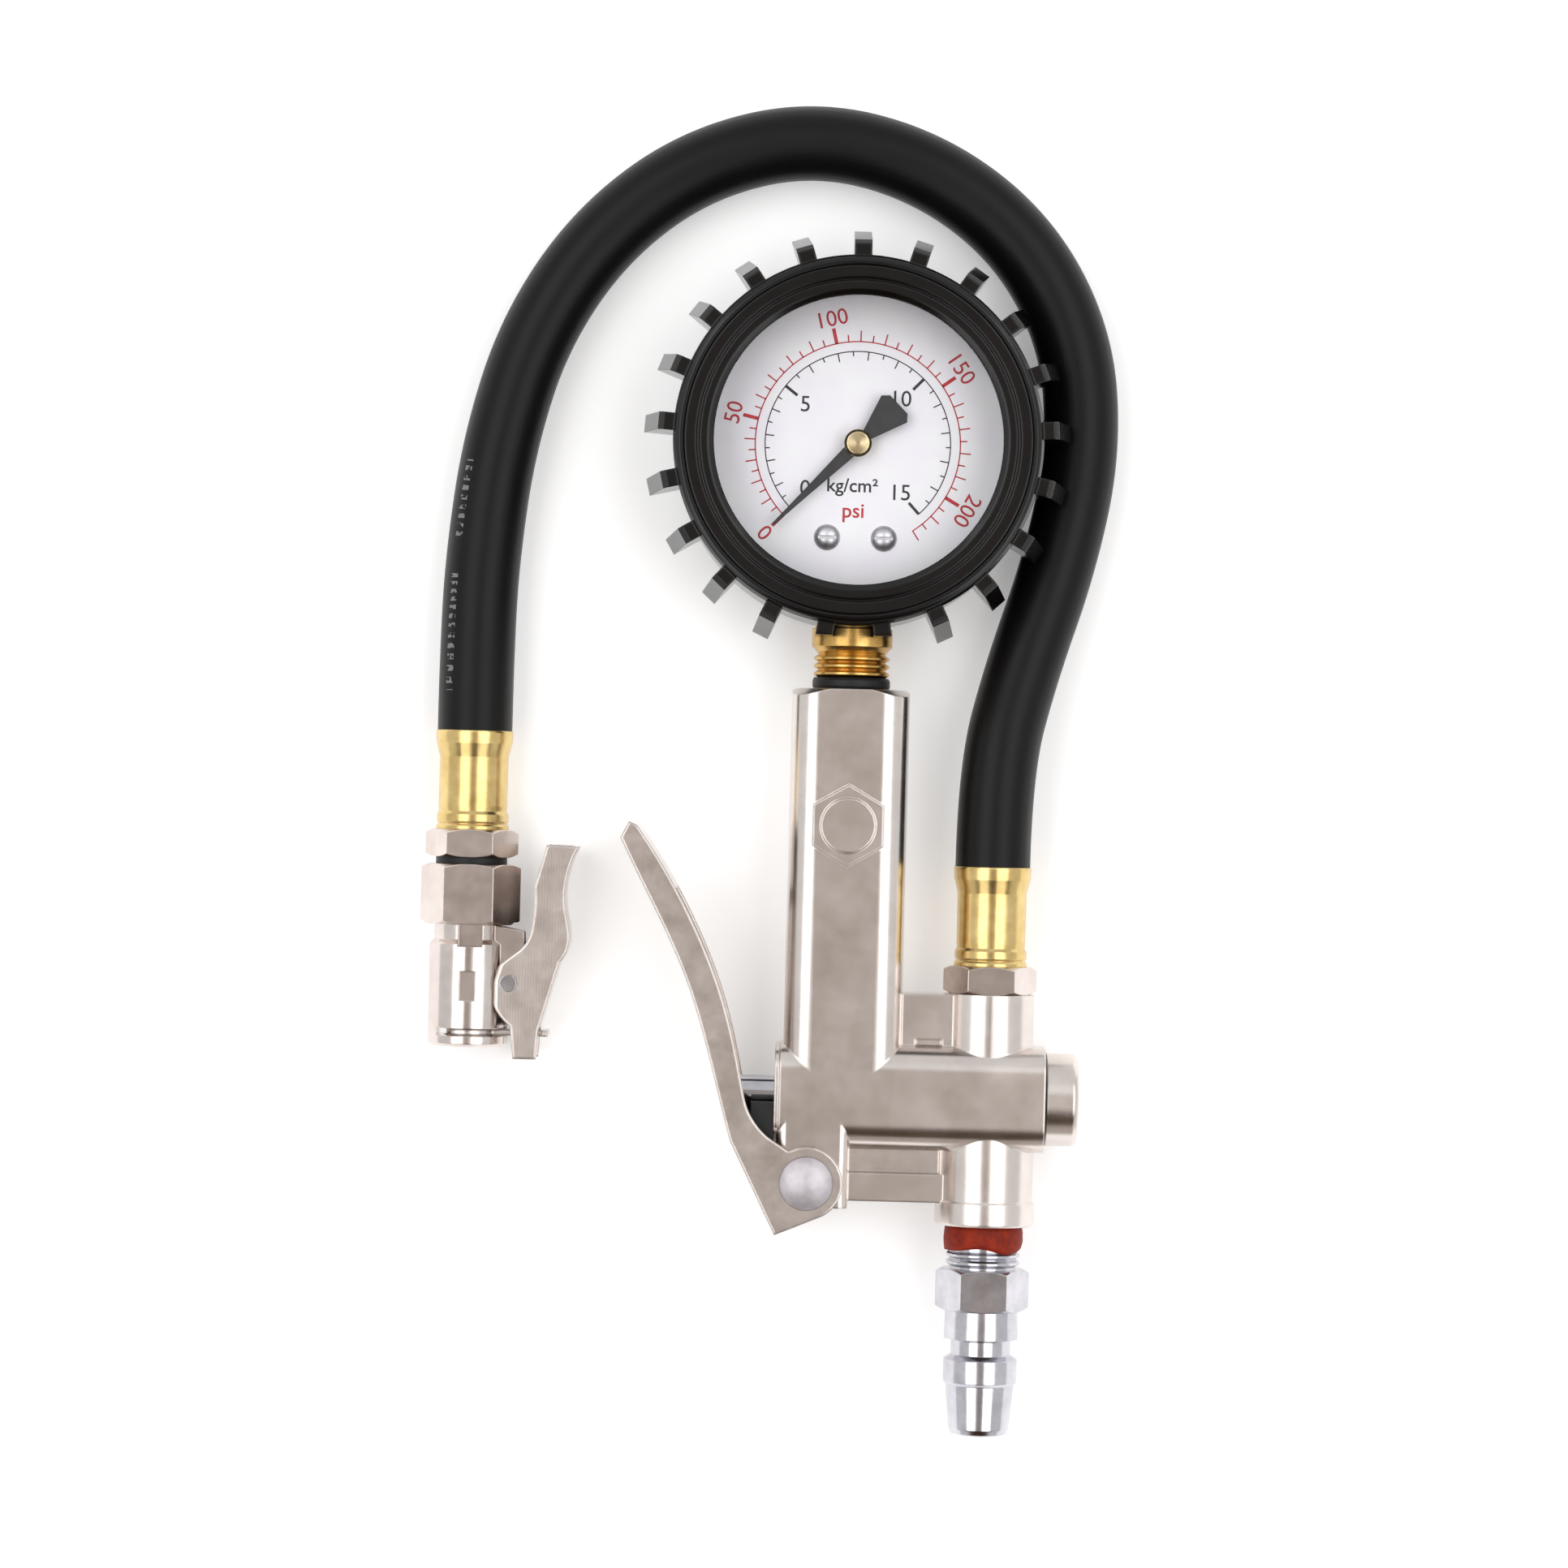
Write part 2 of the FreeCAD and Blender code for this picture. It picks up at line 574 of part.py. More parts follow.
def lever_rivet():
    """The pivot rivet: a domed head in front and a low formed tail behind."""
    half = LEVER_INSIDE + LEVER_SHEET + RIVET_PLAY
    back = MID_Z - half
    front = MID_Z + half
    sphere_r = (RIVET_HEAD_R ** 2 + RIVET_HEAD_H ** 2) / (2 * RIVET_HEAD_H)
    centre = V(PIVOT_X, PIVOT_Y, front + RIVET_HEAD_H - sphere_r)
    at = V(PIVOT_X, PIVOT_Y, 0)
    above = rod(RIVET_HEAD_R + 1, at + V(0, 0, front), at + V(0, 0, front + 5))
    head = Part.makeSphere(sphere_r, centre).common(above)
    shank = rod(PIVOT_R, at + V(0, 0, back), at + V(0, 0, front + 0.1))
    tail = rod(RIVET_TAIL_R, at + V(0, 0, back - RIVET_TAIL_H), at + V(0, 0, back))
    return head.multiFuse([shank, tail])


# ---- unions at both ends of the hose -------------------------------------------------------
def union_fitting(top, x, z, thread_len):
    """A hexagon union below a ferrule: thread below, hose barb above. top is the ferrule's foot."""
    at = V(x, 0, z)
    hexed = chamfered_hex(UNION_HEX_AF, V(x, top, z), UNION_HEX_LEN)
    foot = top - UNION_HEX_LEN
    thread = rod(UNION_THREAD_R, at + V(0, foot - thread_len, 0), at + V(0, foot + 0.1, 0))
    barbs = [(top - 0.1, 0), (top - 0.1, BARB_R)]
    for k in range(4):
        base = top + 2.0 + 3.2 * k
        barbs += [(base, BARB_R), (base + 2.6, BARB_R - 0.5), (base + 2.7, BARB_R)]
    barbs += [(top + FERRULE_LEN - 1.5, BARB_R - 0.4), (top + FERRULE_LEN - 1.5, 0)]
    tail = turned(barbs, at)
    bore = rod(UNION_BORE_R, at + V(0, foot - thread_len - 1, 0), at + V(0, top + FERRULE_LEN, 0))
    return hexed.multiFuse([thread, tail]).cut(bore)


def ferrule(foot, x, z):
    """A brass sleeve crimped over the hose: ringed foot, drawn-in waist and flared mouth."""
    top = foot + FERRULE_LEN
    outer = [(foot, FERRULE_FOOT_R), (foot + 0.6, FERRULE_FOOT_R), (foot + 1.0, FERRULE_FOOT_R - 0.35),
             (foot + 1.4, FERRULE_FOOT_R - 0.1), (foot + 2.6, FERRULE_FOOT_R - 0.1),
             (foot + 3.2, FERRULE_WAIST_R - 0.1),
             (foot + 4.0, FERRULE_WAIST_R), (top - 4.6, FERRULE_WAIST_R),
             (top - 3.2, FERRULE_WAIST_R + 0.35),
             (top - 2.2, FERRULE_MOUTH_R - 0.15), (top - 0.4, FERRULE_MOUTH_R),
             (top, FERRULE_MOUTH_R - 0.1)]
    inner = [(top, FERRULE_BORE_R), (foot + FERRULE_COLLAR, FERRULE_BORE_R),
             (foot + FERRULE_COLLAR, BARB_R), (foot, BARB_R)]
    return turned(outer + inner, V(x, 0, z))


def hose_end(foot, x, z, fitting):
    """The crimped end of the hose, between the ferrule and the barb."""
    at = V(x, 0, z)
    start = at + V(0, foot + FERRULE_COLLAR, 0)
    return ring(FERRULE_BORE_R, UNION_BORE_R, start, at + V(0, foot + FERRULE_LEN, 0)).cut(fitting)


# ---- air inlet plug ------------------------------------------------------------------------
def inlet_plug():
    """The quick-connect plug: pipe thread, hexagon, neck, locking ridge and tapered nose."""
    start = INLET_PORT_END + INLET_SOCKET_DEPTH - 1.0
    core = PLUG_SEAL_R - 0.5
    thread = threaded(PLUG_BODY_R, PLUG_SEAL_END, PLUG_THREAD_END, G14_PITCH, 0.7)
    profile = [(start, PLUG_BORE_R), (start, core), (PLUG_SEAL_END, core)] + thread
    profile += [(PLUG_THREAD_END, PLUG_BODY_R - 0.7), (PLUG_THREAD_END, PLUG_BODY_R - 0.3),
                (PLUG_BODY_END, PLUG_BODY_R),
                (PLUG_BODY_END - 0.3, PLUG_NECK_R), (PLUG_NECK_END, PLUG_NECK_R),
                (PLUG_RIDGE_TOP, PLUG_RIDGE_R),
                (PLUG_RIDGE_END, PLUG_RIDGE_R), (PLUG_RIDGE_END - 0.5, PLUG_NOSE_R),
                (PLUG_TIP + 1.2, PLUG_TIP_R),
                (PLUG_TIP + 0.35, PLUG_TIP_R - 0.35), (PLUG_TIP, PLUG_TIP_R - 1.2), (PLUG_TIP, PLUG_BORE_R)]
    at = V(PORT_X, 0, MID_Z)
    turned_part = turned(profile, at)
    hexed = chamfered_hex(UNION_HEX_AF, V(PORT_X, PLUG_THREAD_END, MID_Z), PLUG_THREAD_END - PLUG_HEX_END)
    hexed = hexed.cut(rod(PLUG_BORE_R, at + V(0, PLUG_TIP, 0), at + V(0, start, 0)))
    return turned_part.fuse(hexed)


def inlet_seal():
    """The band of thread sealant between the port and the plug."""
    start = INLET_PORT_END
    inside = PLUG_SEAL_R - 0.5
    profile = [(start, inside), (start, PLUG_SEAL_R - 0.15), (start - 0.5, PLUG_SEAL_R),
               (PLUG_SEAL_END + 0.6, PLUG_SEAL_R),
               (PLUG_SEAL_END, PLUG_SEAL_R - 0.3), (PLUG_SEAL_END, inside)]
    return turned(profile, V(PORT_X, 0, MID_Z))


# ---- gauge ---------------------------------------------------------------------------------
def gauge_boot():
    """The rubber cover with a ring of grip teeth round its front half."""
    at = V(0, DIAL_Y, 0)
    side = 1.8
    profile = [(0, BOOT_BACK_R), (0, BOOT_R - side), (side * 0.3, BOOT_R - side * 0.3), (side, BOOT_R),
               (BOOT_H - side, BOOT_R), (BOOT_H - side * 0.3, BOOT_R - side * 0.3), (BOOT_H, BOOT_R - side),
               (BOOT_H, BOOT_WINDOW_R + 1.0), (BOOT_H - 0.5, BOOT_WINDOW_R),
               (BOOT_H - BOOT_LIP_T, BOOT_WINDOW_R),
               (BOOT_H - BOOT_LIP_T, BOOT_BORE_R), (BOOT_BACK_T, BOOT_BORE_R), (BOOT_BACK_T, BOOT_BACK_R)]
    rim = profile.index((BOOT_H, BOOT_WINDOW_R + 1.0))
    for middle in BOOT_GROOVES:
        profile[rim:rim] = [(BOOT_H, middle + 0.35), (BOOT_H - 0.4, middle + 0.15),
                            (BOOT_H - 0.4, middle - 0.15),
                            (BOOT_H, middle - 0.35)]
        rim += 4
    shell = turned(profile, at, "Z")
    teeth = []
    root = BOOT_R - 0.6
    corners = [V(root, 0, TOOTH_BACK_Z), V(TOOTH_BACK_R, 0, TOOTH_BACK_Z),
               V(TOOTH_FRONT_R, 0, TOOTH_FRONT_Z - 0.8),
               V(TOOTH_FRONT_R - 0.8, 0, TOOTH_FRONT_Z), V(root - 0.6, 0, TOOTH_FRONT_Z)]
    blank = Part.Face(Part.makePolygon(corners + corners[:1])).extrude(V(0, TOOTH_W, 0))
    blank.translate(V(0, -TOOTH_W / 2, 0))
    for k in range(TEETH):
        tooth = blank.copy()
        tooth.rotate(V(0, 0, 0), AXES["Z"], 90.0 + 360.0 * k / TEETH)
        tooth.translate(at)
        teeth.append(tooth)
    hole = rod(STEM_NECK_R, V(0, STEM_SHOULDER_END, MID_Z), V(0, DIAL_Y, MID_Z))
    stem = rod(STEM_SHOULDER_R + FREE_GAP, V(0, HANDLE_TOP, MID_Z), V(0, DIAL_Y - BOOT_R - 0.1, MID_Z))
    short_y = DIAL_Y - BOOT_R - SHORT_TOOTH
    trim = box(V(-STEM_SHOULDER_R - TOOTH_W, short_y - 10.0, 0),
               V(STEM_SHOULDER_R + TOOTH_W, short_y, BOOT_H))
    return shell.multiFuse(teeth).cut(hole).cut(stem).cut(trim)


def gauge_case():
    at = V(0, DIAL_Y, 0)
    inner = CASE_R - CASE_WALL
    profile = [(CASE_BACK_Z, 0), (CASE_BACK_Z, CASE_R - 1.0), (CASE_BACK_Z + 1.0, CASE_R),
               (CASE_RIM_Z, CASE_R),
               (CASE_RIM_Z, inner), (CASE_BACK_Z + CASE_WALL, inner), (CASE_BACK_Z + CASE_WALL, 0)]
    hole = rod(STEM_NECK_R, V(0, STEM_SHOULDER_END, MID_Z), V(0, DIAL_Y, MID_Z))
    shape = turned(profile, at, "Z").cut(hole)
    for tool in case_screws():
        shape = shape.cut(tool)
    return shape


def case_screws():
    """The two screws that hold the socket block to the back of the case."""
    screws = []
    for side in (-1, 1):
        at = V(side * CASE_SCREW_X, CASE_SCREW_Y, CASE_BACK_Z)
        shank = rod(CASE_SCREW_R, at, V(at.x, at.y, TUBE_Z - FREE_GAP))
        head = rod(CASE_SCREW_HEAD_R, at - V(0, 0, CASE_SCREW_HEAD_H), at)
        screws.append(shank.fuse(head))
    return screws


def gauge_bezel():
    """The snap-on ring that holds the lens on the case."""
    lip = CASE_RIM_Z + GASKET_T + LENS_T
    skirt = CASE_R + 0.05
    profile = [(BEZEL_SKIRT_Z, skirt), (BEZEL_SKIRT_Z, BEZEL_R - 0.4), (BEZEL_SKIRT_Z + 0.4, BEZEL_R),
               (lip + 0.5, BEZEL_R),
               (lip + BEZEL_LIP_T, BEZEL_R - 0.7), (lip + BEZEL_LIP_T, BEZEL_LIP_R + 0.6),
               (lip + 0.5, BEZEL_LIP_R),
               (lip, BEZEL_LIP_R), (lip, skirt)]
    return turned(profile, V(0, DIAL_Y, 0), "Z")


def lens_gasket():
    at = V(0, DIAL_Y, CASE_RIM_Z)
    return ring(CASE_R - 0.1, GASKET_R, at, at + V(0, 0, GASKET_T))


def gauge_lens():
    at = V(0, DIAL_Y, CASE_RIM_Z + GASKET_T)
    return rod(CASE_R - 0.1, at, at + V(0, 0, LENS_T))


def dial_screws():
    """Two domed screws that hold the dial to the socket block."""
    screws = []
    front = DIAL_Z + DIAL_T
    for side in (-1, 1):
        at = V(side * DIAL_SCREW_X, DIAL_Y + DIAL_SCREW_DY, front)
        ball_r = 2.9
        ball = Part.makeSphere(ball_r, at - V(0, 0, ball_r - 1.2))
        head = ball.common(rod(DIAL_SCREW_HEAD_R, at, at + V(0, 0, 3)))
        slot = box(at + V(-3, -0.25, 0.75), at + V(3, 0.25, 3))
        screws.append(head.fuse(rod(1.0, at - V(0, 0, 6.0), at + V(0, 0, 0.1))).cut(slot))
    return screws


def dial_plate():
    at = V(0, DIAL_Y, DIAL_Z)
    shape = rod(DIAL_R, at, at + V(0, 0, DIAL_T)).cut(rod(1.2, at, at + V(0, 0, DIAL_T)))
    for screw in dial_screws():
        shape = shape.cut(screw)
    return shape


def socket_raw():
    """The brass socket before its holes: stem, neck and the block inside the case."""
    thread = threaded(G14_R, HANDLE_TOP + STEM_SEAL_T, STEM_SHOULDER_END, G14_PITCH, G14_DEPTH)
    foot = HANDLE_TOP - GAUGE_SOCKET_DEPTH + 1.5
    groove = G14_R - 0.9
    profile = [(foot, 0), (foot, G14_R - 0.6), (foot + 0.6, G14_R), (HANDLE_TOP, G14_R),
               (HANDLE_TOP, groove),
               (HANDLE_TOP + STEM_SEAL_T, groove)] + thread
    neck_end = DIAL_Y - CASE_R + 2.2
    profile += [(STEM_SHOULDER_END, STEM_SHOULDER_R - 0.5), (STEM_SHOULDER_END + 0.5, STEM_SHOULDER_R),
                (DIAL_Y - BOOT_R - 0.1, STEM_SHOULDER_R), (DIAL_Y - BOOT_R - 0.1, STEM_NECK_R),
                (neck_end, STEM_NECK_R),
                (neck_end, 0)]
    stem = turned(profile, V(0, 0, MID_Z))
    block = box(V(-BLOCK_HALF_W, neck_end - 0.1, BLOCK_BACK_Z), V(BLOCK_HALF_W, BLOCK_TOP_Y, BLOCK_FRONT_Z))
    feet = []
    for side in (-1, 1):
        at = V(side * DIAL_SCREW_X, DIAL_Y + DIAL_SCREW_DY, BLOCK_FRONT_Z - 0.1)
        feet.append(rod(2.1, at, V(at.x, at.y, DIAL_Z)))
        back = V(side * 4.5, 38.0, CASE_BACK_Z + CASE_WALL)
        feet.append(rod(2.4, back, V(back.x, back.y, BLOCK_BACK_Z + 0.1)))
    return stem.multiFuse([block] + feet)


def gauge_socket():
    shape = socket_raw()
    foot = HANDLE_TOP - GAUGE_SOCKET_DEPTH
    airway = rod(STEM_BORE_R, V(0, foot, MID_Z), V(0, DIAL_Y - TUBE_R, MID_Z))
    cuts = [airway, tube_blank(0.0)] + dial_screws() + movement_screws() + case_screws()
    for tool in cuts:
        shape = shape.cut(tool)
    return shape


def gauge_stem_seal():
    groove = G14_R - 0.9
    low = HANDLE_TOP
    profile = [(low, groove), (low, G14_R - 0.1), (low + 0.5, G14_R + 0.15),
               (low + STEM_SEAL_T - 0.5, G14_R + 0.15),
               (low + STEM_SEAL_T, G14_R - 0.1), (low + STEM_SEAL_T, groove)]
    return turned(profile, V(0, 0, MID_Z))


def tube_blank(wall):
    """The curved bar of the Bourdon tube, shrunk all round by a wall."""
    low = V(TUBE_R - TUBE_T / 2 + wall, 0, TUBE_Z + wall)
    wide = TUBE_T - 2 * wall
    deep = TUBE_W - 2 * wall
    corners = [low, low + V(wide, 0, 0), low + V(wide, 0, deep), low + V(0, 0, deep)]
    bar = Part.Face(Part.makePolygon(corners + corners[:1])).revolve(V(0, 0, 0), AXES["Z"], TUBE_SWEEP)
    bar.rotate(V(0, 0, 0), AXES["Z"], TUBE_START)
    bar.translate(V(0, DIAL_Y, 0))
    return bar


def bourdon_tube():
    return tube_blank(0.0).cut(tube_blank(TUBE_WALL))


def arc_block(inner, outer, start, sweep, low_z, high_z):
    """A piece of a flat ring about the dial's centre."""
    corners = [V(inner, 0, low_z), V(outer, 0, low_z), V(outer, 0, high_z), V(inner, 0, high_z)]
    piece = Part.Face(Part.makePolygon(corners + corners[:1])).revolve(V(0, 0, 0), AXES["Z"], sweep)
    piece.rotate(V(0, 0, 0), AXES["Z"], start)
    piece.translate(V(0, DIAL_Y, 0))
    return piece


def tip_angle():
    """Direction of the tip pin, seen from the dial's centre."""
    return TUBE_START - 0.7 * TIP_SWEEP


def tube_tip():
    """The plug brazed in the tube's free end, with the link's pin."""
    inner = TUBE_R - TUBE_T / 2
    outer = TUBE_R + TUBE_T / 2
    plug = arc_block(inner, outer, TUBE_START - 0.12 * TIP_SWEEP, 0.12 * TIP_SWEEP, TUBE_Z, TUBE_Z + TUBE_W)
    lug = arc_block(inner, outer, TUBE_START - TIP_SWEEP, TIP_SWEEP, TUBE_Z, LINK_Z - 0.4)
    pin = polar(TUBE_R, tip_angle())
    peg = rod(ARBOR_R, pin + V(0, 0, LINK_Z - 1), pin + V(0, 0, LINK_Z + LINK_T + 0.3))
    return plug.multiFuse([lug, peg])


def pillar_angles():
    return (150.0, 70.0, 220.0)


def sector_pivot(z=0.0):
    """The sector's pivot: a pinion radius plus a sector radius from the dial's centre."""
    spacing = GEAR_MODULE * PINION_TEETH * (1 + SECTOR_RATIO) / 2
    return polar(spacing, SECTOR_AT, z=z)


def movement_plates():
    """Front and back movement plates, each a disc trimmed to clear the socket block."""
    back_z = BACK_PLATE_Z
    front_z = BLOCK_FRONT_Z
    at = V(0, DIAL_Y, 0)
    back = rod(PLATE_R, at + V(0, 0, back_z), at + V(0, 0, back_z + PLATE_T))
    back = back.cut(box(V(-30, 0, 0), V(30, BLOCK_TOP_Y + 0.3, 30)))
    front = rod(PLATE_R, at + V(0, 0, front_z), at + V(0, 0, front_z + PLATE_T))
    front = front.cut(box(V(-30, 0, 0), V(30, BLOCK_TOP_Y - 3.2, 30)))
    for screw in movement_screws():
        front = front.cut(screw)
    holes = [rod(ARBOR_R + RUN_GAP, at, at + V(0, 0, 20)),
             rod(ARBOR_R + RUN_GAP, sector_pivot(0), sector_pivot(20))]
    for degrees in pillar_angles():
        holes.append(rod(0.8, polar(PLATE_R - 2.2, degrees, z=0), polar(PLATE_R - 2.2, degrees, z=20)))
    for hole in holes:
        back = back.cut(hole)
        front = front.cut(hole)
    return back, front


def movement_screws():
    screws = []
    for side in (-1, 1):
        at = V(side * 3.4, BLOCK_TOP_Y - 1.6, BLOCK_FRONT_Z - 3.0)
        head = at + V(0, 0, 3.0 + PLATE_T)
        screws.append(rod(0.7, at, head).fuse(rod(1.2, head, head + V(0, 0, 0.7))))
    return screws


def movement_pillars():
    """Shouldered pillars that hold the two plates apart."""
    pillars = []
    for degrees in pillar_angles():
        foot = polar(PLATE_R - 2.2, degrees, z=BACK_PLATE_Z)
        shaft = rod(0.8, foot, foot + V(0, 0, BLOCK_FRONT_Z + PLATE_T - BACK_PLATE_Z))
        body = rod(1.3, foot + V(0, 0, PLATE_T), V(foot.x, foot.y, BLOCK_FRONT_Z))
        pillars.append(shaft.fuse(body))
    return pillars


def gear_flank(count, radius, spread):
    """(radius, angle from the tooth's middle) points of one tooth, root to tip to root."""
    pitch = 2 * math.pi / count
    root = radius - 0.42
    tip = radius + 0.2
    return [(root, -0.25 * pitch * spread), (tip, -0.11 * pitch * spread), (tip, 0.11 * pitch * spread),
            (root, 0.25 * pitch * spread)]


def pinion():
    """The pinion and its arbor, which carries the pointer. A gap between teeth faces the sector."""
    radius = GEAR_MODULE * PINION_TEETH / 2
    points = []
    for k in range(PINION_TEETH):
        middle = math.radians(SECTOR_AT) + 2 * math.pi * (k + 0.5) / PINION_TEETH
        for r, a in gear_flank(PINION_TEETH, radius, 0.85):
            points.append((r * math.cos(middle + a), DIAL_Y + r * math.sin(middle + a)))
    gear = plate(points, GEAR_Z - 0.2, GEAR_Z + GEAR_T + 0.2)
    at = V(0, DIAL_Y, 0)
    arbor = rod(ARBOR_R, at + V(0, 0, BACK_PLATE_Z - 0.3), at + V(0, 0, POINTER_Z + POINTER_T))
    return gear.fuse(arbor)


def sector_gear():
    """The toothed sector: teeth on one side of its pivot, a tail with the link's pin on the other."""
    pivot = sector_pivot()
    count = PINION_TEETH * SECTOR_RATIO
    radius = GEAR_MODULE * count / 2
    toward = SECTOR_AT + 180.0
    pitch = 360.0 / count
    points = []
    for k in range(-10, 3):
        middle = math.radians(toward + k * pitch)
        for r, a in gear_flank(count, radius, 0.85):
            points.append((pivot.x + r * math.cos(middle + a), pivot.y + r * math.sin(middle + a)))
    start = math.radians(toward - 11 * pitch)
    end = math.radians(toward + 3 * pitch)
    points.insert(0, (pivot.x + (radius - 0.5) * math.cos(start),
                      pivot.y + (radius - 0.5) * math.sin(start)))
    points.append((pivot.x + (radius - 0.5) * math.cos(end), pivot.y + (radius - 0.5) * math.sin(end)))
    points.append((pivot.x, pivot.y))
    wedge = plate(points, GEAR_Z, GEAR_Z + GEAR_T)
    middle = math.radians(toward - 4 * pitch)
    window_at = V(pivot.x + radius * 0.62 * math.cos(middle), pivot.y + radius * 0.62 * math.sin(middle), 0)
    wedge = wedge.cut(rod(1.6, window_at, window_at + V(0, 0, 20)))
    hub = rod(1.5, V(pivot.x, pivot.y, GEAR_Z - 0.6), V(pivot.x, pivot.y, GEAR_Z + GEAR_T + 0.6))
    tail_at = tail_pin()
    tail = plate(bar_outline(pivot, tail_at, 1.1), GEAR_Z, GEAR_Z + GEAR_T)
    eye = rod(1.1, V(tail_at.x, tail_at.y, GEAR_Z), V(tail_at.x, tail_at.y, GEAR_Z + GEAR_T))
    pin = rod(0.45, V(tail_at.x, tail_at.y, GEAR_Z), V(tail_at.x, tail_at.y, LINK_Z + LINK_T + 0.3))
    arbor = rod(ARBOR_R, V(pivot.x, pivot.y, BACK_PLATE_Z - 0.3),
                V(pivot.x, pivot.y, BLOCK_FRONT_Z + PLATE_T + 0.3))
    return wedge.multiFuse([hub, tail, eye, pin, arbor])


def bar_outline(a, b, half):
    """The four corners of a straight bar from a to b."""
    along = b - a
    across = V(-along.y, along.x, 0) * (half / along.Length)
    return [(p.x, p.y) for p in (a + across, a - across, b - across, b + across)]


def tail_pin():
    pivot = sector_pivot()
    a = math.radians(SECTOR_AT + TAIL_TURN)
    return V(pivot.x + SECTOR_TAIL * math.cos(a), pivot.y + SECTOR_TAIL * math.sin(a), 0)


def gauge_link():
    """The link from the sector's tail to the tube's tip; its far eye is a slot, the open pivot."""
    near = tail_pin()
    far = polar(TUBE_R, tip_angle())
    along = far - near
    along = V(along.x, along.y, 0)
    unit = along * (1.0 / along.Length)
    end = far + unit * 1.2
    low = LINK_Z
    high = LINK_Z + LINK_T
    bar = plate(bar_outline(near, V(end.x, end.y, 0), LINK_HALF_W), low, high)
    eye = rod(LINK_HALF_W, V(near.x, near.y, low), V(near.x, near.y, high))
    shape = bar.fuse(eye).cut(rod(0.45 + RUN_GAP, V(near.x, near.y, low), V(near.x, near.y, high)))
    slot_start = V(far.x, far.y, 0) - unit * 3.6
    slot = plate(bar_outline(slot_start, V(far.x, far.y, 0) + unit * 0.75, 0.9), low, high)
    return shape.cut(slot)


def hairspring():
    """A flat spiral of half rings from beside the arbor out to a stud."""
    inner = 1.0
    step = 0.45
    wire = 0.16
    low = GEAR_Z + GEAR_T + 1.1
    high = low + 0.7
    pieces = []
    for k in range(8):
        middle = inner + wire / 2 + step * k
        shift = 0.0 if k % 2 == 0 else step
        centre = V(shift, DIAL_Y, low)
        half = ring(middle + wire / 2, middle - wire / 2, centre, centre + V(0, 0, high - low))
        if k % 2 == 0:
            keep = box(V(-20, DIAL_Y, 0), V(20, DIAL_Y + 20, 30))
        else:
            keep = box(V(-20, DIAL_Y - 20, 0), V(20, DIAL_Y, 30))
        pieces.append(half.common(keep))
    last = inner + wire / 2 + step * 7
    stud = rod(0.5, V(step + last + 0.35, DIAL_Y, low - 0.4), V(step + last + 0.35, DIAL_Y, BLOCK_FRONT_Z))
    return pieces[0].multiFuse(pieces[1:] + [stud])


def pointer():
    """The black pointer: a slim needle to the scale and a wide flared tail."""
    points = [(POINTER_REACH, 0.22), (12.0, 0.6), (2.2, 1.15), (-2.2, 1.0), (1.1 - POINTER_TAIL, 3.2),
              (-POINTER_TAIL, 2.2)]
    outline = points + [(x, -y) for x, y in reversed(points)]
    shape = plate(outline, POINTER_Z, POINTER_Z + POINTER_T)
    shape.rotate(V(0, 0, 0), AXES["Z"], POINTER_REST)
    shape.translate(V(0, DIAL_Y, 0))
    return shape.cut(pinion())


def pointer_hub():
    at = V(0, DIAL_Y, POINTER_Z + POINTER_T)
    profile = [(0, 0), (0, HUB_R), (0.8, HUB_R), (1.25, HUB_R - 0.5), (1.45, 0)]
    return turned(profile, at, "Z")


# ---- chuck ---------------------------------------------------------------------------------
def chuck_levels():
    """Y of the ferrule's foot, the union's foot, the washer's foot and the hexagon's foot."""
    ferrule_foot = CHUCK_FERRULE_TOP - FERRULE_LEN
    union_foot = ferrule_foot - UNION_HEX_LEN
    washer_foot = union_foot - CHUCK_WASHER_T
    return ferrule_foot, union_foot, washer_foot, washer_foot - CHUCK_HEX_LEN


